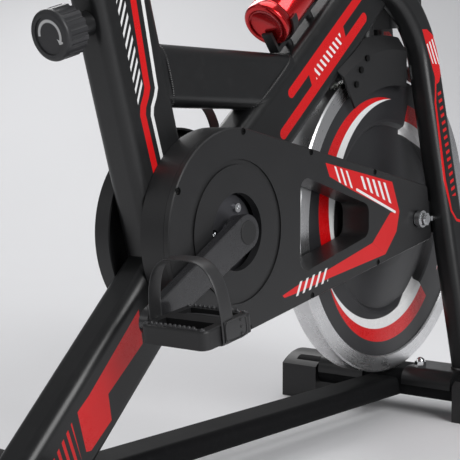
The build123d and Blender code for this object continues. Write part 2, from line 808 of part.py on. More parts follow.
def fluted_knob(radius, length, bore):
    """Grip knob along +Z: shallow flutes, rounded rim and a dished face."""
    body = Cylinder(radius, length, align=(Align.CENTER, Align.CENTER, Align.MIN))
    body = fillet(body.edges().sort_by(Axis.Z)[-1:], 4)
    for step in range(knob_flutes):
        angle = 360 / knob_flutes * step
        body = body - Rot(0, 0, angle) * Pos(radius + 1.6, 0, -1) * Cylinder(
            3.2, length - 5, align=(Align.CENTER, Align.CENTER, Align.MIN))
    dish = Cylinder(radius - 7, 4, align=(Align.CENTER, Align.CENTER, Align.MIN))
    body = body - Pos(0, 0, length - 1.6) * dish
    return body - Cylinder(bore, 2 * (length - 8))


def tension_knob():
    """Resistance knob on the brake rod's thread."""
    bore = brake_rod_r + fit
    return Pos(brake_x, fly_y, brake_top() - 6 + knob_gap) * fluted_knob(24, 34, bore)


# ---- sliding posts ----
inner_depth = tube_depth - 2 * tube_wall - 2 * bush_wall - 2 * slide_fit
inner_width = tube_width - 2 * tube_wall - 2 * bush_wall - 2 * slide_fit
post_corner = 8.0


def bush(depth, width, corner, at, rise, length):
    """Plastic sleeve inside the top of a tube, with a lip over its end; drawn down from `at`."""
    sleeve = bar(depth - 2 * tube_wall, width - 2 * tube_wall, corner - tube_wall, length)
    lip = Pos(0, 0, length) * bar(depth, width, corner, 5)
    lip = fillet(lip.faces().sort_by(Axis.Z)[-1].outer_wire().edges(), 2)
    hole = Pos(0, 0, -1) * bar(depth - 2 * (tube_wall + bush_wall), width - 2 * (tube_wall + bush_wall),
                               post_corner, length + 10)
    x, z = line_point(at, rise, -length)
    return along(x, z, rise) * (sleeve + lip - hole)


def seat_top():
    """End of the seat tube's centre line."""
    return seat_point(seat_tube_top), seat_tube_top


def head_top():
    """End of the head tube's centre line."""
    return line_point(head_at, head_rise, head_length)


def post_bushes():
    """Bushes of the seat tube and the head tube."""
    seat = bush(tube_depth, tube_width, tube_corner, seat_top(), seat_rise, bush_length)
    seat = seat - seat_pin_hole(pin_r + 0.4)
    head = bush(tube_depth - 6, tube_width, tube_corner, head_top(), head_rise, 80)
    head = head - head_pin_hole(pin_r + 0.4)
    return group([seat, head])


def seat_pin_plane():
    """Where the seat pin meets the tube's rear face; its normal points back, out of the tube."""
    x = seat_point(seat_knob_z) - tube_depth / 2 / cos(radians(seat_lean))
    return along(x, seat_knob_z, 180 + seat_lean)


def head_pin_plane():
    """Where the handlebar pin meets the head tube's front face."""
    x, z = line_point(head_at, head_rise, head_length - 45)
    half = (tube_depth - 6) / 2
    return along(x + half * cos(radians(head_lean)), z + half * sin(radians(head_lean)), head_lean)


def seat_pin_hole(radius):
    """Cylinder that bores the pin's way into the seat tube."""
    return seat_pin_plane() * Cylinder(radius, 24)


def head_pin_hole(radius):
    """The same at the head tube."""
    return head_pin_plane() * Cylinder(radius, 24)


def knob_collars():
    """Threaded bosses welded to both tubes."""
    boss = Cylinder(collar_r, collar_length - 4, align=(Align.CENTER, Align.CENTER, Align.MIN))
    boss = chamfer(boss.edges().sort_by(Axis.Z)[-1:], 1.5)
    boss = boss - Cylinder(pin_r + 0.1, 100)
    return group([seat_pin_plane() * boss, head_pin_plane() * boss])


def pull_pin():
    """Pin along +Z with a thicker stem that the knob turns on."""
    reach = tube_wall + bush_wall - 0.6
    tip = Pos(0, 0, -reach) * Cylinder(pin_r, reach + collar_length + knob_length - 12,
                                       align=(Align.CENTER, Align.CENTER, Align.MIN))
    stop = Cylinder(pin_r + 3, 2.5, align=(Align.CENTER, Align.CENTER, Align.MIN))
    return tip + Pos(0, 0, collar_length - 3) * stop


def pin_knob():
    """Knob on a pull pin."""
    return Pos(0, 0, collar_length) * fluted_knob(knob_r, knob_length, pin_r + fit)


def seat_post():
    """Post with its row of holes and the channel that the saddle's slider runs in."""
    low_x = seat_point(post_low_z)
    length = (post_top_z - post_low_z) / cos(radians(seat_lean))
    post = tube(inner_depth, inner_width, post_corner, 2, length)
    for step in range(8):
        place = Pos(-inner_depth / 2, 0, length - 110 - post_pitch * step)
        hole = place * Rot(0, 90, 0) * Cylinder(pin_r + 0.5, 12)
        post = post - hole
    post = along(low_x, post_low_z, seat_rise) * post
    top_x = seat_point(post_top_z)
    box = Pos(top_x, 0, post_top_z + rail_height / 2 - 6) * Box(rail_length, rail_width, rail_height)
    box = fillet(box.edges().filter_by(Axis.X), 6)
    middle = Pos(top_x, 0, post_top_z + rail_height / 2 - 6)
    room = middle * Box(rail_length + 2, rail_width - 8, rail_height - 8)
    slot = Pos(top_x, 0, post_top_z + rail_height - 6) * Box(rail_length - 30, 18, 20)
    knob_hole = Pos(top_x + rail_length / 2 - 12, 0, post_top_z - 6) * Cylinder(pin_r + fit, 30)
    return largest((post - box) + (box - room - slot - knob_hole))


def seat_slider():
    """Slider bar, saddle stem and clamp."""
    top_x = seat_point(post_top_z)
    mid_z = post_top_z + rail_height / 2 - 6
    slider = Pos(top_x, 0, mid_z + 2) * Box(rail_length - 36, rail_width - 9, rail_height - 14)
    stem_low = mid_z + rail_height / 2 - 6
    stem = Cylinder(8.5, saddle_z - stem_low - 14, align=(Align.CENTER, Align.CENTER, Align.MIN))
    stem = Pos(top_x, 0, stem_low) * stem
    clamp = Pos(top_x, 0, saddle_z - 18) * Rot(90, 0, 0) * Cylinder(13, 40)
    cross = Pos(top_x, 0, saddle_z - 14) * Rot(90, 0, 0) * Cylinder(6, 52)
    return slider + stem + clamp + cross + rail(-1, 3.5) + rail(1, 3.5)


def saddle_outline():
    """The saddle from above: wide rounded tail, waist and narrow nose."""
    tail_x = seat_point(post_top_z) - saddle_length * 0.52
    half = saddle_width / 2
    side = [(tail_x, half * 0.62), (tail_x + saddle_length * 0.27, half * 1.04),
            (tail_x + saddle_length * 0.62, half * 0.33), (tail_x + saddle_length, half * 0.24)]
    other = [(x, -y) for x, y in reversed(side)]
    shape = Polygon(*side, *other, align=None)
    corners = shape.vertices().sort_by(Axis.X)
    shape = fillet(corners[-2:], 22)
    shape = fillet(shape.vertices().filter_by(lambda v: abs(abs(v.Y) - half * 0.33) < 0.01), 70)
    shape = fillet(shape.vertices().filter_by(lambda v: abs(abs(v.Y) - half * 1.04) < 0.01), 42)
    return fillet(shape.vertices().filter_by(lambda v: abs(v.X - tail_x) < 0.01), 38)


def saddle_shell():
    """Moulded plastic base under the padding, with the seats that grip both rails."""
    plate = Pos(0, 0, saddle_z - 4) * extrude(offset(saddle_outline(), amount=-6), 4, dir=(0, 0, 1))
    for side in (-1, 1):
        for end in (-66, 56):
            block = Pos(seat_point(post_top_z) + end, side * 22, saddle_z - 10) * Box(16, 14, 14)
            plate = plate + block
        plate = plate - rail(side, 3.5)
    return plate


def rail(side, radius):
    """One saddle rail."""
    return Pos(seat_point(post_top_z) - 5, side * 22, saddle_z - 14) * Rot(0, 90, 0) * Cylinder(radius, 150)


def saddle():
    """Padding: pear outline, crowned, flat below."""
    body = Pos(0, 0, saddle_z + 0.3) * extrude(saddle_outline(), saddle_thick - 10, dir=(0, 0, 1))
    return fillet(body.faces().sort_by(Axis.Z)[-1].edges(), 12)


def slider_knob():
    """Screw knob under the rail that locks the slider."""
    top_x = seat_point(post_top_z)
    x = top_x + rail_length / 2 - 12
    under = post_top_z - 6
    screw = Pos(x, 0, under - 8) * Cylinder(pin_r, 14, align=(Align.CENTER, Align.CENTER, Align.MIN))
    grip = Pos(x, 0, under - 6) * Rot(180, 0, 0) * fluted_knob(15, 24, 0.5)
    return screw + grip


# ---- handlebar ----
def bar_centre():
    """Centre of the handlebar's cross piece."""
    return head_point(bar_post_top), bar_post_top + 18


def handlebar_post():
    """Post with its holes and the clamp for the bar."""
    low_x = head_point(bar_post_low)
    length = (bar_post_top - bar_post_low) / cos(radians(head_lean))
    post = tube(inner_depth - 6, inner_width, post_corner, 2, length)
    for step in range(7):
        place = Pos((inner_depth - 6) / 2, 0, length - 215 - post_pitch * step)
        hole = place * Rot(0, 90, 0) * Cylinder(pin_r + 0.5, 12)
        post = post - hole
    post = along(low_x, bar_post_low, head_rise) * post
    x, z = bar_centre()
    clamp = Pos(x, 0, z) * Rot(90, 0, 0) * Cylinder(bar_r + 8, 60)
    base = Pos(x, 0, z - 22) * Box(inner_depth - 10, inner_width, 18)
    solid = (post - base - clamp) + (base + clamp)
    return largest(solid - Pos(x, 0, z) * Rot(90, 0, 0) * Cylinder(bar_r, 100))


def bar_line():
    """Centre line of the bar: cross piece and two horns that rise forward."""
    x, z = bar_centre()
    return FilletPolyline((x + bar_horn, -bar_half, z + bar_rise), (x, -bar_half, z), (x, bar_half, z),
                          (x + bar_horn, bar_half, z + bar_rise), radius=42)


def handlebar():
    """Bent steel bar."""
    path = bar_line()
    ring_2d = Circle(bar_r) - Circle(bar_r - 2)
    return sweep(Plane(origin=path @ 0, z_dir=path % 0) * ring_2d, path=path)


def handle_grips():
    """Foam sleeves on both horns with closed ends."""
    x, z = bar_centre()
    horn = sqrt(bar_horn ** 2 + bar_rise ** 2)
    rise = degrees(atan2(bar_rise, bar_horn))
    shapes = []
    for side in (-1, 1):
        back = (-cos(radians(rise)), 0, -sin(radians(rise)))
        start = Plane(origin=(x + bar_horn, side * bar_half, z + bar_rise), z_dir=back)
        sleeve = Cylinder(bar_r + grip_wall, horn - 50, align=(Align.CENTER, Align.CENTER, Align.MIN))
        sleeve = Pos(0, 0, -4) * fillet(sleeve.edges(), 3)
        sleeve = sleeve - Cylinder(bar_r, 200, align=(Align.CENTER, Align.CENTER, Align.MIN))
        shapes.append(start * sleeve)
        arm = Cylinder(bar_r + grip_wall, 90) - Cylinder(bar_r, 100)
        arm = Pos(x, side * (bar_half - 90), z) * Rot(90, 0, 0) * arm
        shapes.append(arm)
    return group(shapes)


# ---- bottle ----
def bottle_plane(distance):
    """Plane across the bottle at `distance` along the down tube, normal up the tube."""
    x, z = line_point(down_tube_at, down_rise, distance)
    lift = bottle_lift
    return along(x - lift * sin(radians(down_rise)), z + lift * cos(radians(down_rise)), down_rise)


def bottle():
    """Bottle and its screw cap, two solids."""
    body = Cylinder(bottle_r, bottle_length - 42, align=(Align.CENTER, Align.CENTER, Align.MIN))
    body = fillet(body.edges().sort_by(Axis.Z)[:1], 5)
    body = fillet(body.edges().sort_by(Axis.Z)[-1:], 12)
    body = body - Pos(0, 0, -1) * Cylinder(bottle_r - 9, 4, align=(Align.CENTER, Align.CENTER, Align.MIN))
    neck = Cylinder(bottle_r - 13, 40, align=(Align.CENTER, Align.CENTER, Align.MIN))
    body = body + Pos(0, 0, bottle_length - 60) * neck
    cap = Cylinder(bottle_r - 9, 34, align=(Align.CENTER, Align.CENTER, Align.MIN))
    cap = Pos(0, 0, bottle_length - 40) * cap
    cap = fillet(cap.edges().sort_by(Axis.Z)[-1:], 6) - Pos(0, 0, bottle_length - 60) * neck
    place = bottle_plane(bottle_start)
    return group([place * body, place * cap])


def bottle_cage():
    """Cradle cage: spine on the tube, two half hoops and a toe under the bottle."""
    clear = bottle_r + 0.6
    hoop_r = clear + 2.6
    strip = bottle_lift - tube_depth / 2
    hoops = []
    for low in (12, 92):
        hoop = Cylinder(hoop_r, 12, align=(Align.CENTER, Align.CENTER, Align.MIN)) - Cylinder(clear, 60)
        hoop = hoop - Pos(-hoop_r, 0, 0) * Box(2 * hoop_r, 3 * hoop_r, 60)
        hoops.append(Pos(0, 0, low) * hoop)
    spine = Pos(clear + 3, 0, 49) * Box(6, 14, 108) - Cylinder(clear, 400)
    toe = Pos(clear - 8, 0, -3) * Box(28, 14, 4)
    cage = hoops[0] + hoops[1] + spine + toe
    for height in (26, 82):
        cage = cage + Pos(clear + 4, 0, height) * Rot(0, 90, 0) * Cylinder(
            5, strip - clear, align=(Align.CENTER, Align.CENTER, Align.MIN))
    return largest(bottle_plane(bottle_start) * cage - down_bar())


# ---- pedals ----
def pedal_frame(side):
    """Plane on a pedal's spindle, tilted as the pedal hangs; Y stays across the bike."""
    x, z = crank_end(side)
    return Pos(x, 0, z) * Rot(0, -pedal_tilt, 0)


def pedal(side):
    """Pedal block: rounded body, open pockets either side of the axle tunnel."""
    middle = pedal_inner + pedal_width / 2
    body = Pos(0, middle, 0) * Box(pedal_length, pedal_width, pedal_height)
    body = fillet(body.edges().filter_by(Axis.Z), 9)
    body = fillet(body.faces().sort_by(Axis.Z)[-1].edges(), 2.5)
    for sign in (-1, 1):
        pocket_length = pedal_length / 2 - 9 - 9
        pocket = Box(pocket_length, pedal_width - 22, pedal_height)
        pocket = Pos(sign * (9 + pocket_length / 2), middle, 4) * pocket
        body = body - pocket
    body = body - Rot(90, 0, 0) * Cylinder(pedal_bore + fit, 2 * (pedal_inner + pedal_width - 5))
    body = pedal_frame(side) * body
    return body if side > 0 else mirror_y(body)


def toe_strap(side):
    """Strap loop over the pedal with the buckle plate outside."""
    outer_y = pedal_inner + pedal_width + strap_thick + 0.4
    inner_y = pedal_inner - strap_thick - 0.4 - 5
    low = -pedal_height / 2 - strap_thick - 0.4
    outline = Polygon((inner_y, low), (outer_y, low), (outer_y, strap_rise * 0.5), (outer_y - 22, strap_rise),
                      (inner_y + 14, strap_rise), (inner_y, strap_rise - 16), align=None)
    outline = fillet(outline.vertices(), 2.8)
    loop = outline - offset(outline, amount=-strap_thick)
    plane = Plane(origin=(strap_x - strap_width / 2, 0, 0), x_dir=(0, 1, 0), z_dir=(1, 0, 0))
    band = extrude(plane * loop, strap_width)
    buckle = Pos(strap_x + 10, outer_y + 1.6, 2) * Box(34, 3.2, 22)
    for z in (-4, 2, 8):
        buckle = buckle - Pos(strap_x + 18, outer_y, z) * Rot(90, 0, 0) * Cylinder(1.6, 20)
    spindle = Rot(90, 0, 0) * Cylinder(pedal_bore + 2 + 0.6, 2 * pedal_inner)
    strap = (band - spindle) + buckle
    strap = pedal_frame(side) * strap
    return strap if side > 0 else mirror_y(strap)


def pieces():
    """Every node's shape by name."""
    shapes = {
        "seat_tube": seat_tube(),
        "top_tube": top_tube(),
        "down_tube": down_tube(),
        "head_tube": head_tube(),
        "fork_leg_right": fork_leg_right(),
        "rear_stay": rear_stay(),
        "base_beam": base_beam(),
        "front_foot": foot(foot_x_front),
        "rear_foot": foot(foot_x_rear),
        "foot_saddles": group([foot_saddle(-1), foot_saddle(1)]),
        "foot_bolts": foot_bolts(),
        "front_foot_caps": group([foot_cap(foot_x_front, side, True) for side in (-1, 1)]),
        "rear_foot_caps": group([foot_cap(foot_x_rear, side, False) for side in (-1, 1)]),
        "bottom_bracket": bottom_bracket(),
        "crank_bearings": crank_bearings(),
        "flywheel_axle": flywheel_axle(),
        "axle_hardware": axle_hardware(),
        "belt_cover_outer": belt_cover_outer(),
        "belt_cover_inner": belt_cover_inner(),
        "cover_screws": cover_screws(),
        "left_cover": left_cover(),
        "wheel_guard": wheel_guard(),
        "post_bushes": post_bushes(),
        "knob_collars": knob_collars(),
        "bottle_cage": bottle_cage(),
        "drive_belt": drive_belt(),
        "crank_spindle": crank_spindle(),
        "drive_pulley": drive_pulley(),
        "pulley_bolts": pulley_bolts(),
        "crank_caps": crank_caps(),
        "pedal_spindles": pedal_spindles(),
        "flywheel_rim": flywheel_rim(),
        "flywheel_disc": flywheel_disc(),
        "wheel_bearings": wheel_bearings(),
        "driven_pulley": driven_pulley(),
        "seat_post": seat_post(),
        "seat_slider": seat_slider(),
        "saddle_shell": saddle_shell(),
        "saddle": saddle(),
        "slider_knob": slider_knob(),
        "seat_pin": seat_pin_plane() * pull_pin(),
        "seat_knob": seat_pin_plane() * pin_knob(),
        "handlebar_post": handlebar_post(),
        "handlebar": handlebar(),
        "handle_grips": handle_grips(),
        "bar_pin": head_pin_plane() * pull_pin(),
        "bar_knob": head_pin_plane() * pin_knob(),
        "tension_knob": tension_knob(),
        "brake_rod": brake_rod(),
        "brake_pad": brake_pad(),
        "bottle": bottle(),
    }
    shapes["fork_leg_left"] = mirror_y(shapes["fork_leg_right"])
    for name, side in (("right", -1), ("left", 1)):
        shapes["crank_" + name] = crank(side)
        shapes["pedal_" + name] = pedal(side)
        shapes["toe_strap_" + name] = toe_strap(side)
        shapes["transport_wheel_" + name] = transport_wheel(side)
    return shapes


def main():
    """Stand the bike on the floor with the origin under the middle of its box, and write it."""
    shapes = pieces()
    boxes = [shape.bounding_box() for shape in shapes.values()]
    low_x = min(box.min.X for box in boxes)
    high_x = max(box.max.X for box in boxes)
    place = Pos(-(low_x + high_x) / 2, 0, axis_height)
    os.makedirs("parts", exist_ok=True)
    for name, shape in shapes.items():
        export_step(place * shape, f"parts/{name}.step")
    print("crank axis at", round(-(low_x + high_x) / 2, 3), 0, axis_height)


if __name__ == "__main__":
    main()
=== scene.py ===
import json
from math import atan2, cos, hypot, pi, radians, sin, sqrt, tan

import bpy
import numpy as np
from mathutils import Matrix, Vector


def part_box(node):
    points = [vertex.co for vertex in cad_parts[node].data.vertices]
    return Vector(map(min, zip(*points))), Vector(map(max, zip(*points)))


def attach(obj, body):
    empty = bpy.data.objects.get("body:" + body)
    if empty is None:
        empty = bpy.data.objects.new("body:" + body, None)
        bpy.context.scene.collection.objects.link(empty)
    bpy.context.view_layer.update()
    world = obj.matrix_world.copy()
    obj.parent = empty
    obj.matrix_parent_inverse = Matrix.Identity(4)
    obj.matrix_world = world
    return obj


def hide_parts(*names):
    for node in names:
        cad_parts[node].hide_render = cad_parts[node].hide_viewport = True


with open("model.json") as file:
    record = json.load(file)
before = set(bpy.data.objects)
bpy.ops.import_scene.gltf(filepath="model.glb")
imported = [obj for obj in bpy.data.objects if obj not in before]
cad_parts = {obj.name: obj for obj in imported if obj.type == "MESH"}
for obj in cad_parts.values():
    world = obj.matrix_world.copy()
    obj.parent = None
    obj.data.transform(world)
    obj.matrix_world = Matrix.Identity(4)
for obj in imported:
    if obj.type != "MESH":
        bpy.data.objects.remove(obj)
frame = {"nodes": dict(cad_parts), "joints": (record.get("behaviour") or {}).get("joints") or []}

bl_info = {
    "name": "Indoor spin bike",
    "version": (1, 0, 0),
    "blender": (4, 5, 0),
    "location": "View3D > Sidebar > Spin bike",
    "description": "Surfaces, finishes and studio for an indoor spin bike",
    "category": "Object",
}

MM = 0.001
PEDAL_TILT = 8.7            # degrees that the pedals lean at rest
TUBE_HALF = 42              # half the main tubes' depth, in mm
SEAT_TUBE = (-105.5, 159)   # a point of its centre line from the crank's axis, in mm
DOWN_TUBE_Z = 8             # height of its centre line above the crank's axis, in mm
COVER_FACE = 62.6           # graphics lie on what is further out than this, in mm
GROOVE_SHADE = (77.6, 3.0)        # the cover's groove, where a painted shade ring lies: middle radius and half width, in mm
VIEW_TURN = 38.7            # degrees that the view is turned from the side's forward direction
VIEW_DOWN = 4.6             # degrees that it looks down


# ---- places taken from the frame ----
def middle(node):
    """Centre of a node's box."""
    low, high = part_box(node)
    return (low + high) / 2


def joint(name):
    """A joint's entry in the frame."""
    return next(j for j in frame["joints"] if j["name"] == name)


CRANK = middle("crank_spindle")
WHEEL = middle("flywheel_rim")
DOWN_RISE = atan2(-joint("bottle_lift")["axis"][0], joint("bottle_lift")["axis"][2])
SEAT_LEAN = atan2(-joint("seat_height")["axis"][0], joint("seat_height")["axis"][2])
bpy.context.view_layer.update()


class BikeLook(bpy.types.PropertyGroup):
    """Colours and finishes."""
    frame_colour: bpy.props.FloatVectorProperty(
        name="Frame", description="Powder coat of the tubes", subtype="COLOR", size=3, min=0, max=1,
        default=(0.0075, 0.0077, 0.0082))
    cover_colour: bpy.props.FloatVectorProperty(
        name="Covers", description="Moulded covers", subtype="COLOR", size=3, min=0, max=1,
        default=(0.0105, 0.0105, 0.0112))
    red: bpy.props.FloatVectorProperty(
        name="Red", description="Red of the graphics and the bottle", subtype="COLOR", size=3, min=0, max=1,
        default=(0.66, 0.004, 0.006))
    white: bpy.props.FloatVectorProperty(
        name="White", description="White of the graphics", subtype="COLOR", size=3, min=0, max=1,
        default=(0.82, 0.82, 0.82))
    paint_rough: bpy.props.FloatProperty(
        name="Paint roughness", description="Roughness of the powder coat", default=0.34, min=0, max=1,
        subtype="FACTOR")
    backdrop: bpy.props.FloatVectorProperty(
        name="Floor", description="Studio floor and wall", subtype="COLOR", size=3, min=0, max=1,
        default=(0.80, 0.80, 0.815))


class BikeSizes(bpy.types.PropertyGroup):
    """Sizes of the pieces made here."""
    strap_width: bpy.props.FloatProperty(
        name="Strap width", description="Width of the toe straps", default=18 * MM, unit="LENGTH")
    strap_thick: bpy.props.FloatProperty(
        name="Strap thickness", description="Thickness of the toe straps", default=2.4 * MM, unit="LENGTH")
    strap_rise: bpy.props.FloatProperty(
        name="Strap rise", description="Top of the toe strap above the pedal spindle", default=71 * MM,
        unit="LENGTH")
    strap_x: bpy.props.FloatProperty(
        name="Strap place", description="Strap's middle ahead of the pedal spindle", default=-5 * MM,
        unit="LENGTH")
    bottle_radius: bpy.props.FloatProperty(
        name="Bottle radius", description="Radius of the bottle's body", default=30 * MM, unit="LENGTH")
    bottle_length: bpy.props.FloatProperty(
        name="Bottle length", description="Bottle with its cap", default=172 * MM, unit="LENGTH")
    bottle_start: bpy.props.FloatProperty(
        name="Bottle start", description="From the crank to the bottle's base, along the down tube",
        default=250 * MM, unit="LENGTH")
    bottle_lift: bpy.props.FloatProperty(
        name="Bottle lift", description="Bottle's axis above the tube's centre line", default=88 * MM,
        unit="LENGTH")
    grip_radius: bpy.props.FloatProperty(
        name="Grip radius", description="Outer radius of the foam grips", default=17.3 * MM, unit="LENGTH")
    bead: bpy.props.FloatProperty(
        name="Weld bead", description="Radius of the weld beads", default=1.9 * MM, unit="LENGTH")


# ---- meshes ----
def make_surface(name, grid, ends="poles", crease=40):
    """A mesh from rings of points, an array (rings, points round a ring, 3).

    Each ring is closed on itself. With ends="poles" a point at each end ring's middle closes the
    surface; with ends="loop" the last ring joins the first. The signed volume says which way the
    faces look, and they are turned round when it is negative.
    """
    rings, around = grid.shape[:2]
    points = grid.reshape(-1, 3)
    step = np.arange(around)
    rows = np.arange(rings if ends == "loop" else rings - 1)
    a = (rows[:, None] * around + step[None, :]).ravel()
    b = (rows[:, None] * around + (step[None, :] + 1) % around).ravel()
    nxt = ((rows[:, None] + 1) % rings * around + step[None, :]).ravel()
    nxt_b = ((rows[:, None] + 1) % rings * around + (step[None, :] + 1) % around).ravel()
    quads = np.stack([a, b, nxt_b, nxt], axis=1)
    faces = quads.tolist()
    tris = [quads[:, [0, 1, 2]], quads[:, [0, 2, 3]]]
    if ends == "poles":
        points = np.vstack([points, grid[0].mean(0), grid[-1].mean(0)])
        low = np.full(around, rings * around)
        base = (rings - 1) * around
        first = np.stack([low, (step + 1) % around, step], axis=1)
        last = np.stack([low + 1, base + step, base + (step + 1) % around], axis=1)
        faces += first.tolist() + last.tolist()
        tris += [first, last]
    tri = points[np.vstack(tris)]
    volume = np.einsum("ij,ij->i", tri[:, 0], np.cross(tri[:, 1], tri[:, 2])).sum()
    if volume < 0:
        faces = [face[::-1] for face in faces]
    mesh = bpy.data.meshes.new(name)
    mesh.from_pydata(points.tolist(), [], faces)
    mesh.update()
    mesh.polygons.foreach_set("use_smooth", np.ones(len(mesh.polygons), bool))
    mesh.set_sharp_from_angle(angle=radians(crease))
    piece = bpy.data.objects.new(name, mesh)
    bpy.context.scene.collection.objects.link(piece)
    return piece


def join(name, pieces):
    """One object from several; the parts keep their own places in the mesh."""
    vertices, faces = [], []
    for piece in pieces:
        start = len(vertices)
        vertices += [tuple(v.co) for v in piece.data.vertices]
        faces += [[i + start for i in face.vertices] for face in piece.data.polygons]
        old = piece.data
        bpy.data.objects.remove(piece)
        bpy.data.meshes.remove(old)
    mesh = bpy.data.meshes.new(name)
    mesh.from_pydata(vertices, [], faces)
    mesh.update()
    mesh.polygons.foreach_set("use_smooth", np.ones(len(mesh.polygons), bool))
    mesh.set_sharp_from_angle(angle=radians(40))
    whole = bpy.data.objects.new(name, mesh)
    bpy.context.scene.collection.objects.link(whole)
    return whole


def turn(axis, start, profile, around=64, ripple=None):
    """Rings of a turned shape: each (distance, radius) of the profile goes round the axis from start.

    ripple(angle, distance) is added to the radius, so a cap can have flutes.
    """
    axis = np.array(axis, float) / np.linalg.norm(axis)
    side = np.cross(axis, [0, 1, 0] if abs(axis[1]) < 0.9 else [1, 0, 0])
    side = side / np.linalg.norm(side)
    other = np.cross(axis, side)
    profile = np.array(profile, float)
    angle = np.linspace(0, 2 * pi, around, endpoint=False)
    radius = np.repeat(profile[:, 1:2], around, axis=1)
    if ripple:
        radius = radius + ripple(angle[None, :], profile[:, 0:1])
    round_trip = np.cos(angle)[:, None] * side + np.sin(angle)[:, None] * other
    along = profile[:, 0][:, None, None] * axis
    return np.array(start, float) + along + radius[:, :, None] * round_trip[None, :, :]


def rounded(width, height, corner, points=40):
    """Closed outline of a rounded rectangle: a superellipse whose power follows from the corner."""
    angle = np.linspace(0, 2 * pi, points, endpoint=False)
    power = 2 + 0.45 * min(width, height) / max(corner, 1e-6)
    c, s = np.cos(angle), np.sin(angle)
    x = np.sign(c) * np.abs(c) ** (2 / power) * width / 2
    y = np.sign(s) * np.abs(s) ** (2 / power) * height / 2
    return np.stack([x, y], axis=1)


def carry(path, outline, side, closed=False):
    """Rings of an outline carried along a path: its first axis stays near `side`.

    At each point the tangent is the central difference, the first axis is side with its part along
    the tangent removed, and the second axis is the cross product of the two.
    """
    path = np.array(path, float)
    tangent = (np.roll(path, -1, 0) - np.roll(path, 1, 0)) if closed else np.gradient(path, axis=0)
    tangent = tangent / np.linalg.norm(tangent, axis=1)[:, None]
    side = np.array(side, float) * np.ones_like(path)
    first = side - np.einsum("ij,ij->i", side, tangent)[:, None] * tangent
    first = first / np.linalg.norm(first, axis=1)[:, None]
    second = np.cross(tangent, first)
    across = outline[None, :, 0:1] * first[:, None, :] + outline[None, :, 1:2] * second[:, None, :]
    return path[:, None, :] + across


def on_pedal(grid, hinge):
    """Tilt a grid about the spindle as the pedals are, and carry it to the pedal."""
    t = radians(-PEDAL_TILT)
    x = grid[..., 0] * cos(t) + grid[..., 2] * sin(t)
    z = -grid[..., 0] * sin(t) + grid[..., 2] * cos(t)
    return np.stack([x + hinge.x, grid[..., 1], z + hinge.z], axis=-1)


def smooth_step(x, low, high):
    """0 below low, 1 above high, and a cubic between."""
    t = np.clip((x - low) / (high - low), 0, 1)
    return t * t * (3 - 2 * t)


# ---- shader maths ----
class Value:
    """One socket of a material, so that masks are written as sums and products."""

    def __init__(self, finish, socket):
        self.finish, self.socket = finish, socket

    def math(self, operation, *others, clamp=False):
        """A Math node on this value and the others."""
        return self.finish.node("ShaderNodeMath", dict(enumerate((self,) + others)),
                                operation=operation, use_clamp=clamp)

    def __add__(self, other):
        return self.math("ADD", other)

    def __sub__(self, other):
        return self.math("SUBTRACT", other)

    def __rsub__(self, other):
        return (self * -1) + other

    def __mul__(self, other):
        return self.math("MULTIPLY", other)

    __radd__ = __add__
    __rmul__ = __mul__


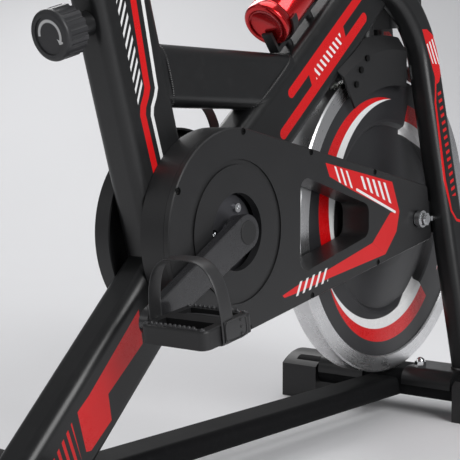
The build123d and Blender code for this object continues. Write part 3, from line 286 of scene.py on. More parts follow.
class Finish:
    """A material under construction."""

    def __init__(self, name):
        self.material = bpy.data.materials.new(name)
        self.material.use_nodes = True
        self.tree = self.material.node_tree
        self.shader = self.tree.nodes["Principled BSDF"]

    def feed(self, socket, item):
        """Link a Value to a socket, or set the socket to a number."""
        if isinstance(item, Value):
            self.tree.links.new(item.socket, socket)
        elif hasattr(item, "__len__") and len(item) == 3 and len(socket.default_value) == 4:
            socket.default_value = (*item, 1)
        else:
            socket.default_value = item

    def node(self, kind, inputs, out=0, **settings):
        """Any node: its settings first, then its sockets, by name or number."""
        made = self.tree.nodes.new(kind)
        for key, item in settings.items():
            setattr(made, key, item)
        for key, item in inputs.items():
            self.feed(made.inputs[key], item)
        return Value(self, made.outputs[out])

    def place(self, centre):
        """Object coordinates from a centre, in millimetres."""
        texture = self.node("ShaderNodeTexCoord", {}, "Object")
        return self.node("ShaderNodeVectorMath", {0: self.node(
            "ShaderNodeVectorMath", {0: texture, 1: tuple(centre)}, operation="SUBTRACT"),
            "Scale": 1000.0}, operation="SCALE")

    def dot(self, point, direction):
        """Part of a point's vector along a direction given in X and Z."""
        return self.node("ShaderNodeVectorMath", {0: point, 1: (direction[0], 0, direction[1])}, "Value",
                         operation="DOT_PRODUCT")

    def inside(self, point, corners, soft=0.5):
        """1 inside a convex outline in X and Z: the least distance to its edges, made a soft step."""
        area = sum(a[0] * b[1] - b[0] * a[1] for a, b in zip(corners, corners[1:] + corners[:1]))
        if area < 0:
            corners = corners[::-1]
        least = None
        for a, b in zip(corners, corners[1:] + corners[:1]):
            length = hypot(b[0] - a[0], b[1] - a[1])
            normal = (-(b[1] - a[1]) / length, (b[0] - a[0]) / length)
            gap = self.dot(point, normal) - (normal[0] * a[0] + normal[1] * a[1])
            least = gap if least is None else least.math("MINIMUM", gap)
        return (least * (1 / soft)).math("ADD", 0.5, clamp=True)

    def bars(self, point, corners, direction, start, pitch, share):
        """Equal bars inside a convex outline, repeated along a direction."""
        length = hypot(*direction)
        direction = (direction[0] / length, direction[1] / length)
        wave = (self.dot(point, direction) - start) * (1 / pitch)
        off = (wave.math("FRACT") - 0.5).math("ABSOLUTE")
        strip = ((share / 2 - off) * pitch * 2).math("ADD", 0.5, clamp=True)
        return strip * self.inside(point, corners)

    def stroke(self, point, path, width):
        """A bent line of even width with round ends: within half the width of the nearest piece."""
        whole = None
        for a, b in zip(path, path[1:]):
            length = hypot(b[0] - a[0], b[1] - a[1])
            along = ((b[0] - a[0]) / length, (b[1] - a[1]) / length)
            run = self.dot(point, along) - (a[0] * along[0] + a[1] * along[1])
            over = run - run.math("MAXIMUM", 0.0).math("MINIMUM", length)
            off = self.dot(point, (-along[1], along[0])) - (a[1] * along[0] - a[0] * along[1])
            part = (width / 2 - (over * over + off * off).math("SQRT")) * 2
            whole = part if whole is None else whole.math("MAXIMUM", part)
        return whole.math("ADD", 0.5, clamp=True)

    def noise(self, point, scale, detail=3.0, rough=0.5):
        """Noise between 0 and 1 whose scale is per millimetre."""
        return self.node("ShaderNodeTexNoise", {"Vector": point, "Scale": scale, "Detail": detail,
                                                "Roughness": rough}, "Fac")

    def mix(self, share, first, second):
        """Two colours mixed."""
        return self.node("ShaderNodeMix", {"Factor": share, 6: first, 7: second}, 2, data_type="RGBA")

    def bump(self, height, strength, distance=0.0004):
        """A bump into the shader's normal."""
        made = self.node("ShaderNodeBump", {"Height": height, "Strength": strength, "Distance": distance},
                         "Normal")
        self.feed(self.shader.inputs["Normal"], made)

    def set(self, **values):
        """Set the shader's sockets; underscores stand for spaces."""
        for key, item in values.items():
            self.feed(self.shader.inputs[key.replace("_", " ").title().replace("Ior", "IOR")], item)


def union(*masks):
    """The largest of several masks."""
    whole = masks[0]
    for mask in masks[1:]:
        whole = whole.math("MAXIMUM", mask)
    return whole


def tube_point(x, lift):
    """A point of the down tube's side by its distance from the crank and its lift, in mm."""
    return (x * cos(DOWN_RISE) - lift * sin(DOWN_RISE),
            DOWN_TUBE_Z + x * sin(DOWN_RISE) + lift * cos(DOWN_RISE))


# ---- finishes ----
def painted(name, base, rough, graphics=None, grain=1.6, bump=0.10, coat=0.0, centre=None, shine=0.5):
    """Coated or moulded surface: mottled colour and roughness, fine grain, faint dust, graphics.

    graphics gives a red mask, a white mask and, where there is a groove, masks of painted shade.
    """
    look = bpy.context.scene.bike_look
    finish = Finish(name)
    point = finish.place(centre or CRANK)
    mottle = finish.noise(point, 0.02, 4.0)
    fine = finish.noise(point, grain, 2.0)
    dust = (finish.noise(point, 0.11, 6.0, 0.65) - 0.52).math("MULTIPLY", 5.0, clamp=True)
    colour = finish.mix(mottle * 0.5, base, tuple(min(1, c * 1.45) for c in base))
    colour = finish.mix(dust * 0.012, colour, (0.30, 0.30, 0.31))
    roughness = fine * 0.08 + mottle * 0.10 + (rough - 0.09) + dust * 0.05
    if graphics:
        red, white, *shade_masks = graphics(finish, point)
        ink = union(red, white)
        # painted shade: each shade mask darkens the colour nearly to black
        for mask in shade_masks:
            colour = finish.mix(mask * 0.85, colour, (0.001, 0.001, 0.001))
        colour = finish.mix(red, colour, finish.mix(mottle * 0.35, tuple(look.red),
                                                    tuple(min(1, c * 0.7) for c in look.red)))
        colour = finish.mix(white, colour, finish.mix(mottle * 0.3, tuple(look.white), (0.66, 0.66, 0.66)))
        roughness = roughness - ink * 0.06
        height = fine * 0.12 + ink * 0.5
    else:
        height = fine * 0.12
    finish.set(base_color=colour, roughness=roughness, coat_weight=coat,
               specular_ior_level=shine)
    finish.bump(height, bump)
    return finish.material


def seat_tube_graphics(finish, point):
    """Red and white lines that bend together, and a column of white slashes behind them."""
    bend = [(-127, 262), (-105, 167), (-102.5, 157), (-104.5, 148), (-109, 137), (-109.5, 128),
            (-92, 75), (-85, 52)]
    red = finish.stroke(point, bend, 8.8)
    line = finish.stroke(point, [(x + 14.3, z) for x, z in bend], 4.6)
    up = (-sin(SEAT_LEAN), cos(SEAT_LEAN))
    front = (up[1], -up[0])

    def on_tube(s, t):
        return (SEAT_TUBE[0] + s * up[0] + t * front[0], SEAT_TUBE[1] + s * up[1] + t * front[1])

    region = [on_tube(-18, -17), on_tube(2, -4), on_tube(112, -4), on_tube(92, -17)]
    steep = 1.46
    slant = (up[0] - steep * front[0], up[1] - steep * front[1])
    start = slant[0] * region[0][0] / hypot(*slant)
    slashes = finish.bars(point, region, slant, start, 11.8 / hypot(1, steep), 0.42)
    return red, union(line, slashes)


def down_tube_graphics(finish, point):
    """A red panel that splits into two strips at both ends, with a row of white bars."""
    body = finish.inside(point, [tube_point(252, -22), tube_point(262, 19), tube_point(362, 19),
                                 tube_point(350, -22)])
    high = finish.stroke(point, [tube_point(216, 12.5), tube_point(470, 12.5)], 13)
    low = finish.stroke(point, [tube_point(172, -15), tube_point(404, -15)], 14)
    region = [tube_point(268, -9), tube_point(273, 5), tube_point(347, 5), tube_point(342, -9)]
    row = (cos(DOWN_RISE + radians(20)), sin(DOWN_RISE + radians(20)))
    return union(body, high, low), finish.bars(point, region, row, 0, 8.4, 0.42)


def stay_graphics(finish, point):
    """A red blade that widens downwards, then five red slashes."""
    upper = finish.inside(point, [(-118, -77), (-112, -114), (-165, -160), (-192, -156)])
    lower = finish.inside(point, [(-192, -156), (-165, -158), (-160, -188), (-190, -214), (-197, -214),
                                  (-209, -171)])
    region = [(-217, -180), (-204, -220), (-236, -262), (-250, -222)]
    slashes = finish.bars(point, region, (0.937, 0.35), -262, 8.8, 0.42)
    return union(upper, lower, slashes), upper * 0


def leg_graphics(finish, point):
    """Red patch with white slashes, a thin line that runs down and hooks, and a column of red bars."""
    patch = finish.inside(point, [(427, 250), (440, 251), (461, 241), (470, 210), (467, 196), (455, 179),
                                  (448, 176)])
    line = finish.stroke(point, [(447, 184), (438, 150), (438, 44), (444, 2), (455, -11), (478, -16)], 3.8)
    bars = finish.bars(point, [(447, 168), (457, 168), (462, 22), (451, 22)], (-0.35, 1), 0, 9.6, 0.42)
    slashes = finish.bars(point, [(434, 230), (459, 242), (470, 204), (444, 204)], (0.944, 0.33), 483, 8.2,
                          0.42)
    return union(patch, line, bars), slashes


def cover_graphics(finish, point):
    """Red band that bends round the nose of the window, with white slashes, bars and an underline, and a
    painted shade ring in the groove.
    """
    high = finish.inside(point, [(171, 73), (326, 45), (345, 5), (335, 4), (229, 38), (180, 56)])
    nose = finish.inside(point, [(345, 5), (338, -21), (311, -49), (279, -32), (322, 5)])
    low = union(finish.inside(point, [(279, -32), (311, -49), (177, -69), (177, -58)]),
                finish.inside(point, [(178, -58), (178, -69), (118, -79), (122, -68)]),
                finish.inside(point, [(123, -68), (119, -79), (88, -83), (84, -80)]))
    back = finish.bars(point, [(188, 69), (223, 61), (234, 39), (196, 50)], (0.874, 0.486), 196, 9.7, 0.35)
    under = finish.stroke(point, [(241, 38), (334, 5)], 3.4)
    words = finish.bars(point, [(243, 56), (316, 43), (329, 15), (256, 39)], (0.874, 0.486), 241.3, 10.7,
                        0.42)
    front = finish.bars(point, [(178, -55), (178, -72), (110, -84), (113, -68)], (0.905, -0.426), 186.7,
                        10.8, 0.36)
    outside = beyond(finish, point, COVER_FACE)
    # painted shade: a near-black ring over the groove on the outer face
    x, z = finish.dot(point, (1, 0)), finish.dot(point, (0, 1))
    off = ((x * x + z * z).math("SQRT") - GROOVE_SHADE[0]).math("ABSOLUTE")
    groove = (GROOVE_SHADE[1] - off).math("ADD", 0.5, clamp=True) * outside
    return union(high, nose, low) * outside, union(back, under, words, front) * outside, groove


def beyond(finish, point, depth):
    """1 on the right of a plane at this distance from the bike's middle."""
    y = finish.node("ShaderNodeVectorMath", {0: point, 1: (0, -1, 0)}, "Value", operation="DOT_PRODUCT")
    return y.math("GREATER_THAN", depth)


def wheel_graphics(finish, point):
    """Three swooshes, red outside and white inside.

    Each begins as a thin tip and swells over 104 degrees: with u the share of that turn, its thickness
    is 42 (1 - (1 - u)^2) and its outer radius 162 + 10 (1 - (2u - 1)^2), in millimetres.
    """
    x, z = finish.dot(point, (1, 0)), finish.dot(point, (0, 1))
    radius = (x * x + z * z).math("SQRT")
    share = ((z.math("ARCTAN2", x) * (180 / pi) - 88) * (1 / 120) + 3).math("FRACT") * (120 / 104)
    some = share.math("LESS_THAN", 1.0)
    left = 1 - share
    thick = (1 - left * left) * 42
    swing = share * 2 - 1
    depth = (1 - swing * swing) * 10 + 162 - radius
    outside = (depth * 1.5).math("ADD", 0.5, clamp=True) * some
    red = outside * ((thick * 0.56 - depth) * 1.5).math("ADD", 0.5, clamp=True)
    white = some * ((depth - thick * 0.56) * 1.5).math("ADD", 0.5, clamp=True) * ((thick - depth) * 1.5).math(
        "ADD", 0.5, clamp=True)
    return red, white


def knob_graphics(finish, point):
    """A pale curved arrow on a knob's face, which looks along the first axis of the point."""
    y = finish.node("ShaderNodeVectorMath", {0: point, 1: (0, -1, 0)}, "Value", operation="DOT_PRODUCT")
    out, up = knob_axes()
    z = finish.dot(point, up)
    face = finish.dot(point, out).math("GREATER_THAN", 12.0)
    radius = (y * y + z * z).math("SQRT")
    band = (1.5 - (radius - 14.5).math("ABSOLUTE")).math("ADD", 0.5, clamp=True)
    angle = z.math("ARCTAN2", y) * (180 / pi)
    arc = angle.math("GREATER_THAN", -25.0) * (205.0 - angle).math("GREATER_THAN", 0.0)
    head = (5.0 - (radius - 14.5).math("ABSOLUTE") + (angle + 25) * 0.28).math("GREATER_THAN", 0.0)
    head = head * (angle.math("LESS_THAN", -25.0)) * (angle.math("GREATER_THAN", -42.0))
    pale = union(band * arc, head) * face
    return pale * 0, pale * 0.75


def knob_axes():
    """Outward and upward directions of the seat knob, in X and Z."""
    return (-cos(SEAT_LEAN), -sin(SEAT_LEAN)), (-sin(SEAT_LEAN), cos(SEAT_LEAN))


def metal(name, base, rough, centre, rings=0.0, streak=0.0, shine=1.0):
    """Bare metal: rings of tool marks about a centre across the bike, or long streaks, and faint smudges."""
    finish = Finish(name)
    point = finish.place(centre)
    smudge = finish.noise(point, 0.03, 5.0, 0.6)
    height = finish.noise(point, 2.0, 2.0) * 0.1
    if rings:
        x, z = finish.dot(point, (1, 0)), finish.dot(point, (0, 1))
        radius = (x * x + z * z).math("SQRT")
        lines = finish.node("ShaderNodeTexNoise", {"W": radius * rings, "Scale": 1.0, "Detail": 3.0}, "Fac",
                            noise_dimensions="1D")
        height = height + lines
    if streak:
        drawn = finish.node("ShaderNodeVectorMath", {0: point, 1: (0.02, 1.0, 0.02)}, operation="MULTIPLY")
        height = height + finish.noise(drawn, streak, 3.0)
    colour = finish.mix(smudge, base, tuple(c * 0.8 for c in base))
    finish.set(base_color=colour, metallic=shine, roughness=smudge * 0.16 + height * 0.08 + (rough - 0.1))
    finish.bump(height, 0.12, 0.0002)
    return finish.material


def soft_black(name, base, rough, kind, centre):
    """Leather grain, foam pores or felt: cells or noise as height, and painted shade: darker colour in the
    hollows, lighter on the raised grain.
    """
    finish = Finish(name)
    point = finish.place(centre)
    if kind == "leather":
        cells = finish.node("ShaderNodeTexVoronoi", {"Vector": point, "Scale": 0.55}, "Distance",
                            feature="DISTANCE_TO_EDGE")
        height = (cells * 3.0).math("MINIMUM", 0.5) + finish.noise(point, 0.9, 3.0) * 0.3
    elif kind == "foam":
        cells = finish.node("ShaderNodeTexVoronoi", {"Vector": point, "Scale": 0.9}, "Distance")
        height = cells + finish.noise(point, 1.6, 4.0) * 0.5
    else:
        height = finish.noise(point, 0.8, 8.0, 0.75)
    # painted shade: colour follows the height, darker in the hollows and lighter on the tops
    tone = finish.mix(height, tuple(c * 0.6 for c in base), tuple(min(1, c * 1.7) for c in base))
    finish.set(base_color=tone, roughness=(rough + 0.08) - height * 0.14)
    finish.bump(height, 0.35, 0.0005)
    return finish.material


def anodised(name):
    """Red anodised shell with fine brushing round the bottle and a clear gloss."""
    finish = Finish(name)
    look = bpy.context.scene.bike_look
    point = finish.place(CRANK)
    along = finish.dot(point, (cos(DOWN_RISE), sin(DOWN_RISE)))
    lines = finish.node("ShaderNodeTexNoise", {"W": along * 1.4, "Scale": 1.0, "Detail": 4.0}, "Fac",
                        noise_dimensions="1D")
    smudge = finish.noise(point, 0.04, 5.0)
    finish.set(base_color=finish.mix(smudge * 0.6, tuple(look.red), (0.30, 0.004, 0.010)), metallic=0.85,
               roughness=lines * 0.10 + smudge * 0.10 + 0.14, coat_weight=0.6)
    finish.bump(lines, 0.05, 0.0002)
    return finish.material


def studio(name, base):
    """Seamless paper: nearly even tone with a broad soft mottle."""
    finish = Finish(name)
    point = finish.place(CRANK)
    cloud = finish.noise(point, 0.0012, 2.0)
    finish.set(base_color=finish.mix(cloud, base, tuple(c * 0.93 for c in base)),
               roughness=0.82 - cloud * 0.1)
    finish.bump(finish.noise(point, 0.6, 3.0), 0.03, 0.0003)
    return finish.material


def dress(piece, material):
    """Give a piece its one material."""
    piece.data.materials.clear()
    piece.data.materials.append(material)


class BIKE_OT_finishes(bpy.types.Operator):
    """Give every part of the frame its finish"""
    bl_idname = "bike.finishes"
    bl_label = "Finishes"

    def execute(self, context):
        look = context.scene.bike_look
        paint, cover = tuple(look.frame_colour), tuple(look.cover_colour)
        rough = look.paint_rough
        plain = painted("powder_coat", paint, rough)
        moulded = painted("moulded_black", cover, 0.46, grain=1.1, bump=0.22)
        polished = metal("chrome_plate", (0.78, 0.79, 0.80), 0.16, CRANK)
        ground = metal("ground_steel", (0.50, 0.50, 0.52), 0.34, CRANK, streak=0.5)
        groups = {
            plain: ["top_tube", "head_tube", "foot_saddles", "bottom_bracket", "knob_collars", "handlebar"],
            painted("coat_matt", paint, 0.6, shine=0.05): ["base_beam", "front_foot", "rear_foot"],
            painted("coat_seat_tube", paint, rough, seat_tube_graphics): ["seat_tube"],
            painted("coat_down_tube", paint, rough, down_tube_graphics): ["down_tube"],
            painted("coat_rear_stay", paint, rough, stay_graphics): ["rear_stay"],
            painted("coat_legs", paint, rough, leg_graphics): ["fork_leg_right", "fork_leg_left"],
            painted("cover_shell", cover, 0.40, cover_graphics, grain=1.1, bump=0.18): ["belt_cover_outer"],
            painted("gloss_crank", (0.022, 0.022, 0.024), 0.28, coat=0.3): ["crank_right", "crank_left"],
            painted("knob_marked", (0.020, 0.020, 0.022), 0.42, knob_graphics, bump=0.2,
                    centre=middle("seat_knob")): ["seat_knob"],
            moulded: ["belt_cover_inner", "left_cover", "wheel_guard", "front_foot_caps", "rear_foot_caps",
                      "post_bushes", "bottle_cage", "pedal_right", "pedal_left", "saddle_shell",
                      "bar_knob", "slider_knob", "tension_knob", "crank_caps"],
            polished: ["foot_bolts", "axle_hardware", "flywheel_axle", "pulley_bolts", "pedal_spindles",
                       "seat_pin", "bar_pin", "seat_slider"],
            ground: ["crank_bearings", "wheel_bearings", "crank_spindle", "brake_rod"],
            metal("satin_post", (0.42, 0.43, 0.45), 0.32, CRANK, streak=0.3): ["seat_post", "handlebar_post"],
            metal("blackened_screws", (0.03, 0.03, 0.03), 0.40, CRANK): ["cover_screws"],
            metal("turned_rim", (0.86, 0.86, 0.87), 0.26, WHEEL, rings=0.9): ["flywheel_rim"],
            metal("cast_pulley", (0.10, 0.10, 0.11), 0.45, CRANK, rings=0.4, shine=0.8): ["drive_pulley",
                                                                                         "driven_pulley"],
            painted("wheel_paint", (0.020, 0.020, 0.022), 0.33, wheel_graphics, centre=WHEEL): [
                "flywheel_disc"],
            soft_black("belt_rubber", (0.02, 0.02, 0.02), 0.7, "felt", CRANK): ["drive_belt"],
            soft_black("wheel_rubber", (0.025, 0.025, 0.025), 0.65, "foam", CRANK): ["transport_wheel_right",
                                                                                   "transport_wheel_left"],
            soft_black("brake_felt", (0.34, 0.30, 0.24), 0.9, "felt", CRANK): ["brake_pad"],
        }
        for material, nodes in groups.items():
            for name in nodes:
                dress(frame["nodes"][name], material)
        return {"FINISHED"}


class BIKE_OT_bottle(bpy.types.Operator):
    """Turn the bottle and its fluted cap"""
    bl_idname = "bike.bottle"
    bl_label = "Bottle"

    def execute(self, context):
        sizes = context.scene.bike_sizes
        r, length = sizes.bottle_radius - 0.3 * MM, sizes.bottle_length
        axis = (cos(DOWN_RISE), 0, sin(DOWN_RISE))
        base_x = sizes.bottle_start * axis[0] - sizes.bottle_lift * axis[2]
        base_z = DOWN_TUBE_Z * MM + sizes.bottle_start * axis[2] + sizes.bottle_lift * axis[0]
        start = (CRANK.x + base_x, 0, CRANK.z + base_z)
        body_end = length - 40 * MM
        turn_in = np.linspace(0, pi / 2, 9)
        profile = [(1.6 * MM, 0.02 * r), (1.6 * MM, 0.64 * r), (0.9 * MM, 0.70 * r), (0.1 * MM, 0.74 * r),
                   (0, 0.84 * r)]
        profile += [(4 * MM * (1 - cos(a)), 0.84 * r + 0.16 * r * sin(a)) for a in turn_in[1:]]
        profile += [(13 * MM, r), (14 * MM, r - 0.8 * MM), (16 * MM, r - 0.8 * MM), (17 * MM, r),
                    (body_end - 16 * MM, r)]
        profile += [(body_end - 16 * MM + 15 * MM * sin(a), r - 11 * MM * (1 - cos(a))) for a in turn_in[1:]]
        profile += [(body_end, r - 12 * MM), (body_end, 0.02 * r)]
        body = make_surface("bottle_body", turn(axis, start, profile, 96), crease=50)
        cap_r = r - 9.5 * MM
        cap = [(body_end + 0.3 * MM, 0.02 * r), (body_end + 0.3 * MM, cap_r - 1 * MM),
               (body_end + 1.5 * MM, cap_r), (body_end + 27 * MM, cap_r - 0.5 * MM),
               (body_end + 30 * MM, cap_r - 3 * MM),
               (body_end + 31 * MM, cap_r - 8 * MM), (body_end + 37 * MM, cap_r - 9 * MM),
               (body_end + 38 * MM, cap_r - 11 * MM), (body_end + 38 * MM, 0.02 * r)]
        dense = np.array(cap)
        spots = np.linspace(0, len(dense) - 1, 65)
        dense = np.stack([np.interp(spots, np.arange(len(dense)), dense[:, i]) for i in (0, 1)], axis=1)

        def flutes(angle, distance):
            inner = smooth_step(distance, body_end + 3 * MM, body_end + 6 * MM)
            outer = 1 - smooth_step(distance, body_end + 22 * MM, body_end + 25 * MM)
            return 0.55 * MM * np.cos(30 * angle) * inner * outer

        top = make_surface("bottle_cap", turn(axis, start, dense, 180, flutes), crease=50)
        dress(body, anodised("red_anodised"))
        dress(top, painted("cap_black", (0.02, 0.02, 0.022), 0.40, bump=0.2))
        for piece in (body, top):
            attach(piece, "flask")
        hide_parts("bottle")
        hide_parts("bottle")
        return {"FINISHED"}


class BIKE_OT_saddle(bpy.types.Operator):
    """Shape the padded saddle"""
    bl_idname = "bike.saddle"
    bl_label = "Saddle"

    def execute(self, context):
        low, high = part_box("saddle")
        length, half, tall = high.x - low.x, (high.y - low.y) / 2, high.z - low.z
        u = np.linspace(0, 1, 120)
        u = (1 - np.cos(pi * u)) / 2
        width = np.interp(u, [0, 0.06, 0.14, 0.25, 0.36, 0.48, 0.6, 0.72, 0.86, 1],
                          [0.62, 0.80, 0.94, 1.0, 0.93, 0.70, 0.45, 0.33, 0.27, 0.24])
        kernel = np.hanning(13) / np.hanning(13).sum()
        width = np.convolve(np.pad(width, 6, mode="edge"), kernel, mode="valid")
        tail = np.sqrt(np.clip(1 - ((0.12 - u) / 0.12).clip(0, 1) ** 2, 0, 1))
        nose = np.sqrt(np.clip(1 - ((u - 0.93) / 0.07).clip(0, 1) ** 2, 0, 1))
        width = half * 0.985 * width * np.clip(tail * nose, 0.02, 1)
        crown = tall * (0.74 + 0.22 * (1 - smooth_step(u, 0, 0.35)) + 0.06 * smooth_step(u, 0.5, 0.8)
                        - 0.16 * smooth_step(u, 0.86, 1.0))
        crown = crown * np.clip(0.45 + 0.55 * tail * nose, 0.3, 1)
        angle = np.linspace(0, 2 * pi, 120, endpoint=False)
        c, s = np.cos(angle), np.sin(angle)
        across = np.sign(c) * np.abs(c) ** 0.85
        y = width[:, None] * across[None, :]
        top = np.where(s > 0, np.abs(s) ** 0.62, 0)[None, :]
        rim = 0.34 * tall
        under = rim * (1 - np.abs(s[None, :]) ** 0.5)
        z = np.where(s[None, :] > 0, rim + (crown[:, None] - rim) * top, under)
        share = np.abs(y) / np.maximum(width[:, None], 1e-6)
        reach = smooth_step(u, 0.12, 0.3) * (1 - smooth_step(u, 0.72, 0.9))
        groove = 4.5 * MM * np.exp(-(y / (9 * MM)) ** 2) * reach[:, None]
        seam = 1.3 * MM * np.exp(-((share - 0.70) / 0.022) ** 2) * smooth_step(u, 0.03, 0.1)[:, None]
        z = z - np.where(s[None, :] > 0.12, groove + seam, 0)
        x = np.repeat((low.x + 0.5 * MM + u * (length - 1 * MM))[:, None], len(angle), axis=1)
        pad = make_surface("saddle_pad", np.stack([x, y, z + low.z], axis=2), crease=70)
        dress(pad, soft_black("saddle_leather", (0.030, 0.030, 0.032), 0.48, "leather", CRANK))
        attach(pad, "seat_top")
        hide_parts("saddle")
        stitches = []
        for side in (-1, 1):
            line = np.stack([x[12:108, 0], side * 0.70 * width[12:108],
                             low.z + rim + (crown[12:108] - rim) * (1 - 0.70 ** 2.35) ** 0.31], axis=1)
            round_thread = rounded(1.1 * MM, 1.1 * MM, 0.5 * MM, 8)
            stitches.append(make_surface("stitch", carry(line, round_thread, (0, 0, 1))))
        thread = join("saddle_stitching", stitches)
        dress(thread, soft_black("red_thread", (0.45, 0.02, 0.02), 0.7, "felt", CRANK))
        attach(thread, "seat_top")
        return {"FINISHED"}


class BIKE_OT_grips(bpy.types.Operator):
    """Sleeve the handlebar with foam grips"""
    bl_idname = "bike.grips"
    bl_label = "Grips"

    def execute(self, context):
        radius = context.scene.bike_sizes.grip_radius
        bar_low, bar_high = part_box("handlebar")
        tube = 12.5 * MM
        x, z = bar_low.x + tube, bar_low.z + tube
        half = bar_high.y - tube
        horn = Vector((125 * MM, 0, 38 * MM))
        way = horn.normalized()
        sleeves = []
        for side in (-1, 1):
            end = Vector((x, side * half, z)) + horn + way * 3.5 * MM
            sleeves.append(self.sleeve(end, -way, horn.length - 51 * MM, radius))
            start = Vector((x, side * (half - 135 * MM), z))
            sleeves.append(self.sleeve(start, Vector((0, side, 0)), 90 * MM, radius, open_start=True))
        grips = join("foam_grips", sleeves)
        dress(grips, soft_black("grip_foam", (0.022, 0.022, 0.023), 0.72, "foam", CRANK))
        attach(grips, "bars")
        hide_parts("handle_grips")
        return {"FINISHED"}

    def sleeve(self, start, way, length, radius, open_start=False):
        """A closed sleeve along a line: rounded ends and two shallow grooves."""
        s = np.linspace(0, 1, 60)
        along = length * (1 - np.cos(pi * s)) / 2
        edge = np.minimum(along, length - along)
        r = radius - 4 * MM * (1 - np.sqrt(np.clip(1 - (1 - np.clip(edge / (4 * MM), 0, 1)) ** 2, 0, 1)))
        for spot in (0.12, 0.88):
            r = r - 0.7 * MM * np.exp(-((along - spot * length) / (1.6 * MM)) ** 2)
        profile = np.stack([along, r], axis=1)
        return make_surface("sleeve", turn(tuple(way), tuple(start), profile, 48), crease=60)


class BIKE_OT_straps(bpy.types.Operator):
    """Loop the toe straps over the pedals and fit their buckles"""
    bl_idname = "bike.straps"
    bl_label = "Toe straps"

    def execute(self, context):
        sizes = context.scene.bike_sizes
        rubber = painted("strap_rubber", (0.024, 0.024, 0.025), 0.38, grain=0.7, bump=0.25)
        for name, side in (("right", -1), ("left", 1)):
            hinge = Vector(joint(f"pedal_{name}_spin")["pos_m"])
            low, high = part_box(f"toe_strap_{name}")
            inner, outer = (-high.y, -low.y) if side < 0 else (low.y, high.y)
            outer = outer - 3.2 * MM
            angle = np.linspace(0, 2 * pi, 160, endpoint=False)
            c, s = np.cos(angle), np.sin(angle)
            power = np.where(s > 0, 2.7, 9.0)
            mid, reach = (inner + outer) / 2, (outer - inner) / 2 - sizes.strap_thick / 2
            y = mid + reach * np.sign(c) * np.abs(c) ** (2 / np.where(s > 0, 3.2, 9.0))
            z = np.where(s > 0, sizes.strap_rise, 11.3 * MM) * np.sign(s) * np.abs(s) ** (2 / power)
            path = np.stack([np.full_like(y, sizes.strap_x), side * y, z], axis=1)
            band = make_surface("band", on_pedal(carry(
                path, rounded(sizes.strap_width, sizes.strap_thick, 1.0 * MM, 24), (1, 0, 0), closed=True),
                hinge), ends="loop", crease=60)
            plates = [band] + self.buckle(side, outer, hinge, sizes.strap_x)
            strap = join(f"toe_loop_{name}", plates)
            dress(strap, rubber)
            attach(strap, f"pedal_unit_{name}")
            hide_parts(f"toe_strap_{name}")
        return {"FINISHED"}

    def buckle(self, side, outer, hinge, at):
        """The buckle's plate with its raised rim, and three studs in the strap's holes."""
        y = outer + 0.7 * MM
        path = np.array([[at - 7 * MM, side * y, 2 * MM], [at + 27 * MM, side * y, 2 * MM]])
        path = np.linspace(path[0], path[1], 12)
        shape = rounded(21 * MM, 1.4 * MM, 0.9 * MM, 32)
        parts = [make_surface("plate", on_pedal(carry(path, shape, (0, 0, 1)), hinge), crease=50)]
        corners = rounded(32 * MM, 20 * MM, 3 * MM, 60)
        rim = np.stack([corners[:, 0] + at + 10 * MM, np.full(60, side * (y + 0.7 * MM)),
                        corners[:, 1] + 2 * MM], axis=1)
        rim = carry(rim, rounded(1.6 * MM, 1.6 * MM, 0.8 * MM, 10), (0, 1, 0), closed=True)
        parts.append(make_surface("rim", on_pedal(rim, hinge), ends="loop"))
        for z in (-5 * MM, 2 * MM, 9 * MM):
            profile = [(0, 0.1 * MM), (0, 1.7 * MM), (0.8 * MM, 1.6 * MM), (1.1 * MM, 1.0 * MM),
                       (1.2 * MM, 0.1 * MM)]
            stud = turn((0, side, 0), (at + 18 * MM, side * (y + 0.6 * MM), z), profile, 20)
            parts.append(make_surface("stud", on_pedal(stud, hinge)))
        return parts


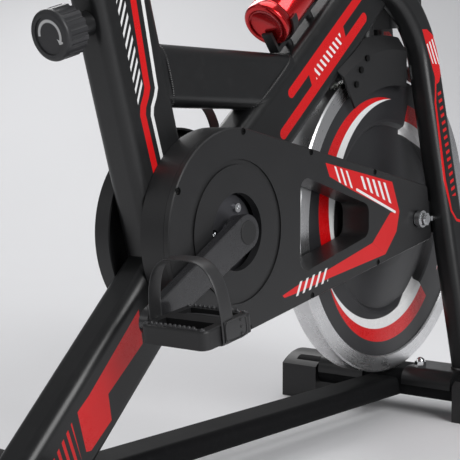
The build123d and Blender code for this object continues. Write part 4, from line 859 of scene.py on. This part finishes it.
class BIKE_OT_treads(bpy.types.Operator):
    """Add toothed treads, the inner cage bars and screws to the pedals"""
    bl_idname = "bike.treads"
    bl_label = "Pedal treads"

    def execute(self, context):
        steel = painted("tread_plastic", (0.03, 0.03, 0.032), 0.34, grain=0.9, bump=0.2)
        for name, side in (("right", -1), ("left", 1)):
            hinge = Vector(joint(f"pedal_{name}_spin")["pos_m"])
            low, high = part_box(f"pedal_{name}")
            inner, outer = (-high.y, -low.y) if side < 0 else (low.y, high.y)
            middle_y, reach = (inner + outer) / 2, (outer - inner) / 2
            parts = []
            for x in (-33.2 * MM, 33.2 * MM):
                parts.append(self.toothed(hinge, side, x, middle_y, reach - 12 * MM))
            for x in (-22 * MM, 22 * MM):
                half = reach - 8 * MM
                ends = [[x, side * (middle_y - half), 3 * MM], [x, side * (middle_y + half), 3 * MM]]
                path = np.linspace(ends[0], ends[1], 30)
                path[:, 2] += 1.5 * MM * np.sin(np.linspace(0, pi, 30))
                bar = carry(path, rounded(4.2 * MM, 5 * MM, 1.2 * MM, 20), (1, 0, 0))
                parts.append(make_surface("bar", on_pedal(bar, hinge), crease=50))
            for x in (-33 * MM, 33 * MM):
                for y in (middle_y - reach + 6 * MM, middle_y + reach - 6 * MM):
                    profile = [(0, 0.1 * MM), (0, 3.0 * MM), (1.2 * MM, 2.9 * MM), (1.9 * MM, 2.0 * MM),
                               (1.2 * MM, 1.2 * MM), (1.1 * MM, 0.1 * MM)]
                    head = turn((0, 0, 1), (x, side * y, 9.3 * MM), profile, 24)
                    parts.append(make_surface("screw", on_pedal(head, hinge)))
            treads = join(f"pedal_treads_{name}", parts)
            dress(treads, steel)
            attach(treads, f"pedal_unit_{name}")
        return {"FINISHED"}

    def toothed(self, hinge, side, x, middle_y, reach):
        """A bar across the pedal whose height is a rounded square wave of ten teeth."""
        top = 9.4 * MM
        along = np.linspace(-reach, reach, 140)
        wave = np.tanh(3 * np.sin(along / reach * 10 * pi)) * 0.5 + 0.5
        edge = smooth_step(reach - np.abs(along), 0, 2 * MM)
        path = np.stack([np.full_like(along, x), side * (middle_y + along), np.full_like(along, top)],
                        axis=1)
        grid = carry(path, rounded(3.4 * MM, 1.0, 0.3, 16), (1, 0, 0))
        tall = (1.0 + 2.0 * wave) * MM * edge + 0.4 * MM
        grid[..., 2] = top + np.clip(grid[..., 2] - top, -0.5, 0.5) * 2 * tall[:, None]
        return make_surface("tooth", on_pedal(grid, hinge), crease=50)


class BIKE_OT_welds(bpy.types.Operator):
    """Lay rippled weld beads where tubes meet"""
    bl_idname = "bike.welds"
    bl_label = "Weld beads"

    def execute(self, context):
        bead = context.scene.bike_sizes.bead
        loops = []
        low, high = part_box("top_tube")
        ring = rounded(high.z - low.z, high.y - low.y, 14 * MM, 160)
        z = (high.z + low.z) / 2 + ring[:, 0]
        rise = z - CRANK.z - SEAT_TUBE[1] * MM
        seat_x = CRANK.x + SEAT_TUBE[0] * MM - rise * tan(SEAT_LEAN) + TUBE_HALF * MM / cos(SEAT_LEAN)
        loops.append(np.stack([seat_x, ring[:, 1], z], axis=1))
        rise = z - CRANK.z - DOWN_TUBE_Z * MM - TUBE_HALF * MM / cos(DOWN_RISE)
        down_x = CRANK.x + rise / tan(DOWN_RISE)
        loops.append(np.stack([down_x, ring[:, 1], z], axis=1))
        foot_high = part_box("foot_saddles")[1]
        for name in ("right", "left"):
            leg_low, leg_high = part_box(f"fork_leg_{name}")
            y_out = leg_low.y if name == "right" else leg_high.y
            side = -1 if name == "right" else 1
            ring = rounded(46 * MM, 33.4 * MM, 12 * MM, 160)
            centre = (CRANK.x + 463 * MM, y_out - side * 16.7 * MM)
            loops.append(np.stack([centre[0] + ring[:, 0], centre[1] + ring[:, 1],
                                   np.full(160, foot_high.z + 0.2 * MM)], axis=1))
        beads = []
        for path in loops:
            path = self.even(path, 400)
            grid = carry(path, rounded(2 * bead, 2 * bead, bead, 12), (0.3, 0.5, 0.8), closed=True)
            ripple = 1 + 0.16 * np.cos(np.arange(400) * 2 * pi * 0.2)
            swelled = path[:, None, :] + (grid - path[:, None, :]) * ripple[:, None, None]
            beads.append(make_surface("bead", swelled, ends="loop", crease=80))
        welds = join("weld_beads", beads)
        dress(welds, bpy.data.materials["powder_coat"])
        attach(welds, "frame")
        return {"FINISHED"}

    def even(self, path, count):
        """The same closed path with evenly spaced points."""
        loop = np.vstack([path, path[:1]])
        run = np.concatenate([[0], np.cumsum(np.linalg.norm(np.diff(loop, axis=0), axis=1))])
        spots = np.linspace(0, run[-1], count, endpoint=False)
        return np.stack([np.interp(spots, run, loop[:, i]) for i in range(3)], axis=1)


class BIKE_OT_stage(bpy.types.Operator):
    """Build the floor, lights and camera"""
    bl_idname = "bike.stage"
    bl_label = "Stage"

    def execute(self, context):
        look = context.scene.bike_look
        u = np.linspace(0, 1, 90)
        v = np.linspace(-9, 9, 12)
        run = 11 * u
        rise = np.where(run > 6.5, (run - 6.5) ** 2 * 0.28, 0)
        way = np.array([cos(radians(VIEW_TURN)), sin(radians(VIEW_TURN))])
        out = np.array([-way[1], way[0]])
        x = way[0] * (run[:, None] - 4.5) + out[0] * v[None, :]
        y = way[1] * (run[:, None] - 4.5) + out[1] * v[None, :]
        grid = np.stack([x, y, np.repeat(rise[:, None], 12, axis=1)], axis=2)
        index = np.arange(90 * 12).reshape(90, 12)
        quads = np.stack([index[:-1, :-1], index[1:, :-1], index[1:, 1:], index[:-1, 1:]], axis=-1)
        quads = quads.reshape(-1, 4)
        mesh = bpy.data.meshes.new("studio_floor")
        mesh.from_pydata(grid.reshape(-1, 3).tolist(), [], quads[:, ::-1].tolist())
        mesh.polygons.foreach_set("use_smooth", np.ones(len(mesh.polygons), bool))
        floor = bpy.data.objects.new("studio_floor", mesh)
        context.scene.collection.objects.link(floor)
        dress(floor, studio("seamless_paper", tuple(look.backdrop)))
        target = Vector((CRANK.x + 0.15, 0, CRANK.z + 0.1))
        lamps = [("key", (-0.7, -2.8, 1.8), 1.8, 72), ("fill", (-2.6, 1.6, 1.6), 1.4, 5),
                 ("rim", (1.8, 2.8, 2.6), 1.8, 48), ("over", (0.4, 0.2, 3.2), 2.2, 36)]
        for name, place, size, power in lamps:
            lamp = bpy.data.lights.new(name, "AREA")
            lamp.size, lamp.energy = size, power
            holder = bpy.data.objects.new(name, lamp)
            holder.location = place
            holder.rotation_euler = (target - Vector(place)).to_track_quat("-Z", "Y").to_euler()
            context.scene.collection.objects.link(holder)
        world = bpy.data.worlds.new("studio_air")
        world.use_nodes = True
        world.node_tree.nodes["Background"].inputs[0].default_value = (0.80, 0.81, 0.83, 1)
        world.node_tree.nodes["Background"].inputs[1].default_value = 0.26
        context.scene.world = world
        camera = bpy.data.cameras.new("view")
        camera.sensor_width = 36
        camera.lens = 96.25
        camera.clip_end = 60
        holder = bpy.data.objects.new("view", camera)
        holder.location = CRANK + Vector((-1064.5, -905.1, 111.3)) * MM
        holder.rotation_euler = (radians(90 - VIEW_DOWN), 0, radians(VIEW_TURN - 90))
        context.scene.collection.objects.link(holder)
        context.scene.camera = holder
        context.scene.view_settings.view_transform = "Standard"
        return {"FINISHED"}


class BIKE_PT_panel(bpy.types.Panel):
    """Lists the steps in the sidebar"""
    bl_label = "Spin bike"
    bl_idname = "BIKE_PT_panel"
    bl_space_type = "VIEW_3D"
    bl_region_type = "UI"
    bl_category = "Spin bike"

    def draw(self, context):
        for group in (context.scene.bike_look, context.scene.bike_sizes):
            for name in group.bl_rna.properties.keys():
                if name not in ("rna_type", "name"):
                    self.layout.prop(group, name)
        for step in STEPS:
            self.layout.operator(step.bl_idname)


STEPS = (BIKE_OT_finishes, BIKE_OT_bottle, BIKE_OT_saddle, BIKE_OT_grips, BIKE_OT_straps, BIKE_OT_treads,
         BIKE_OT_welds, BIKE_OT_stage)
CLASSES = (BikeLook, BikeSizes) + STEPS + (BIKE_PT_panel,)


def register():
    for item in CLASSES:
        bpy.utils.register_class(item)
    bpy.types.Scene.bike_look = bpy.props.PointerProperty(type=BikeLook)
    bpy.types.Scene.bike_sizes = bpy.props.PointerProperty(type=BikeSizes)


def unregister():
    del bpy.types.Scene.bike_look
    del bpy.types.Scene.bike_sizes
    for item in reversed(CLASSES):
        bpy.utils.unregister_class(item)


def main():
    """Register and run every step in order."""
    register()
    for step in STEPS:
        group, name = step.bl_idname.split(".")
        result = getattr(getattr(bpy.ops, group), name)()
        if result != {"FINISHED"}:
            raise RuntimeError(f"{step.bl_idname} did not finish")


if __name__ == "__main__":
    main()
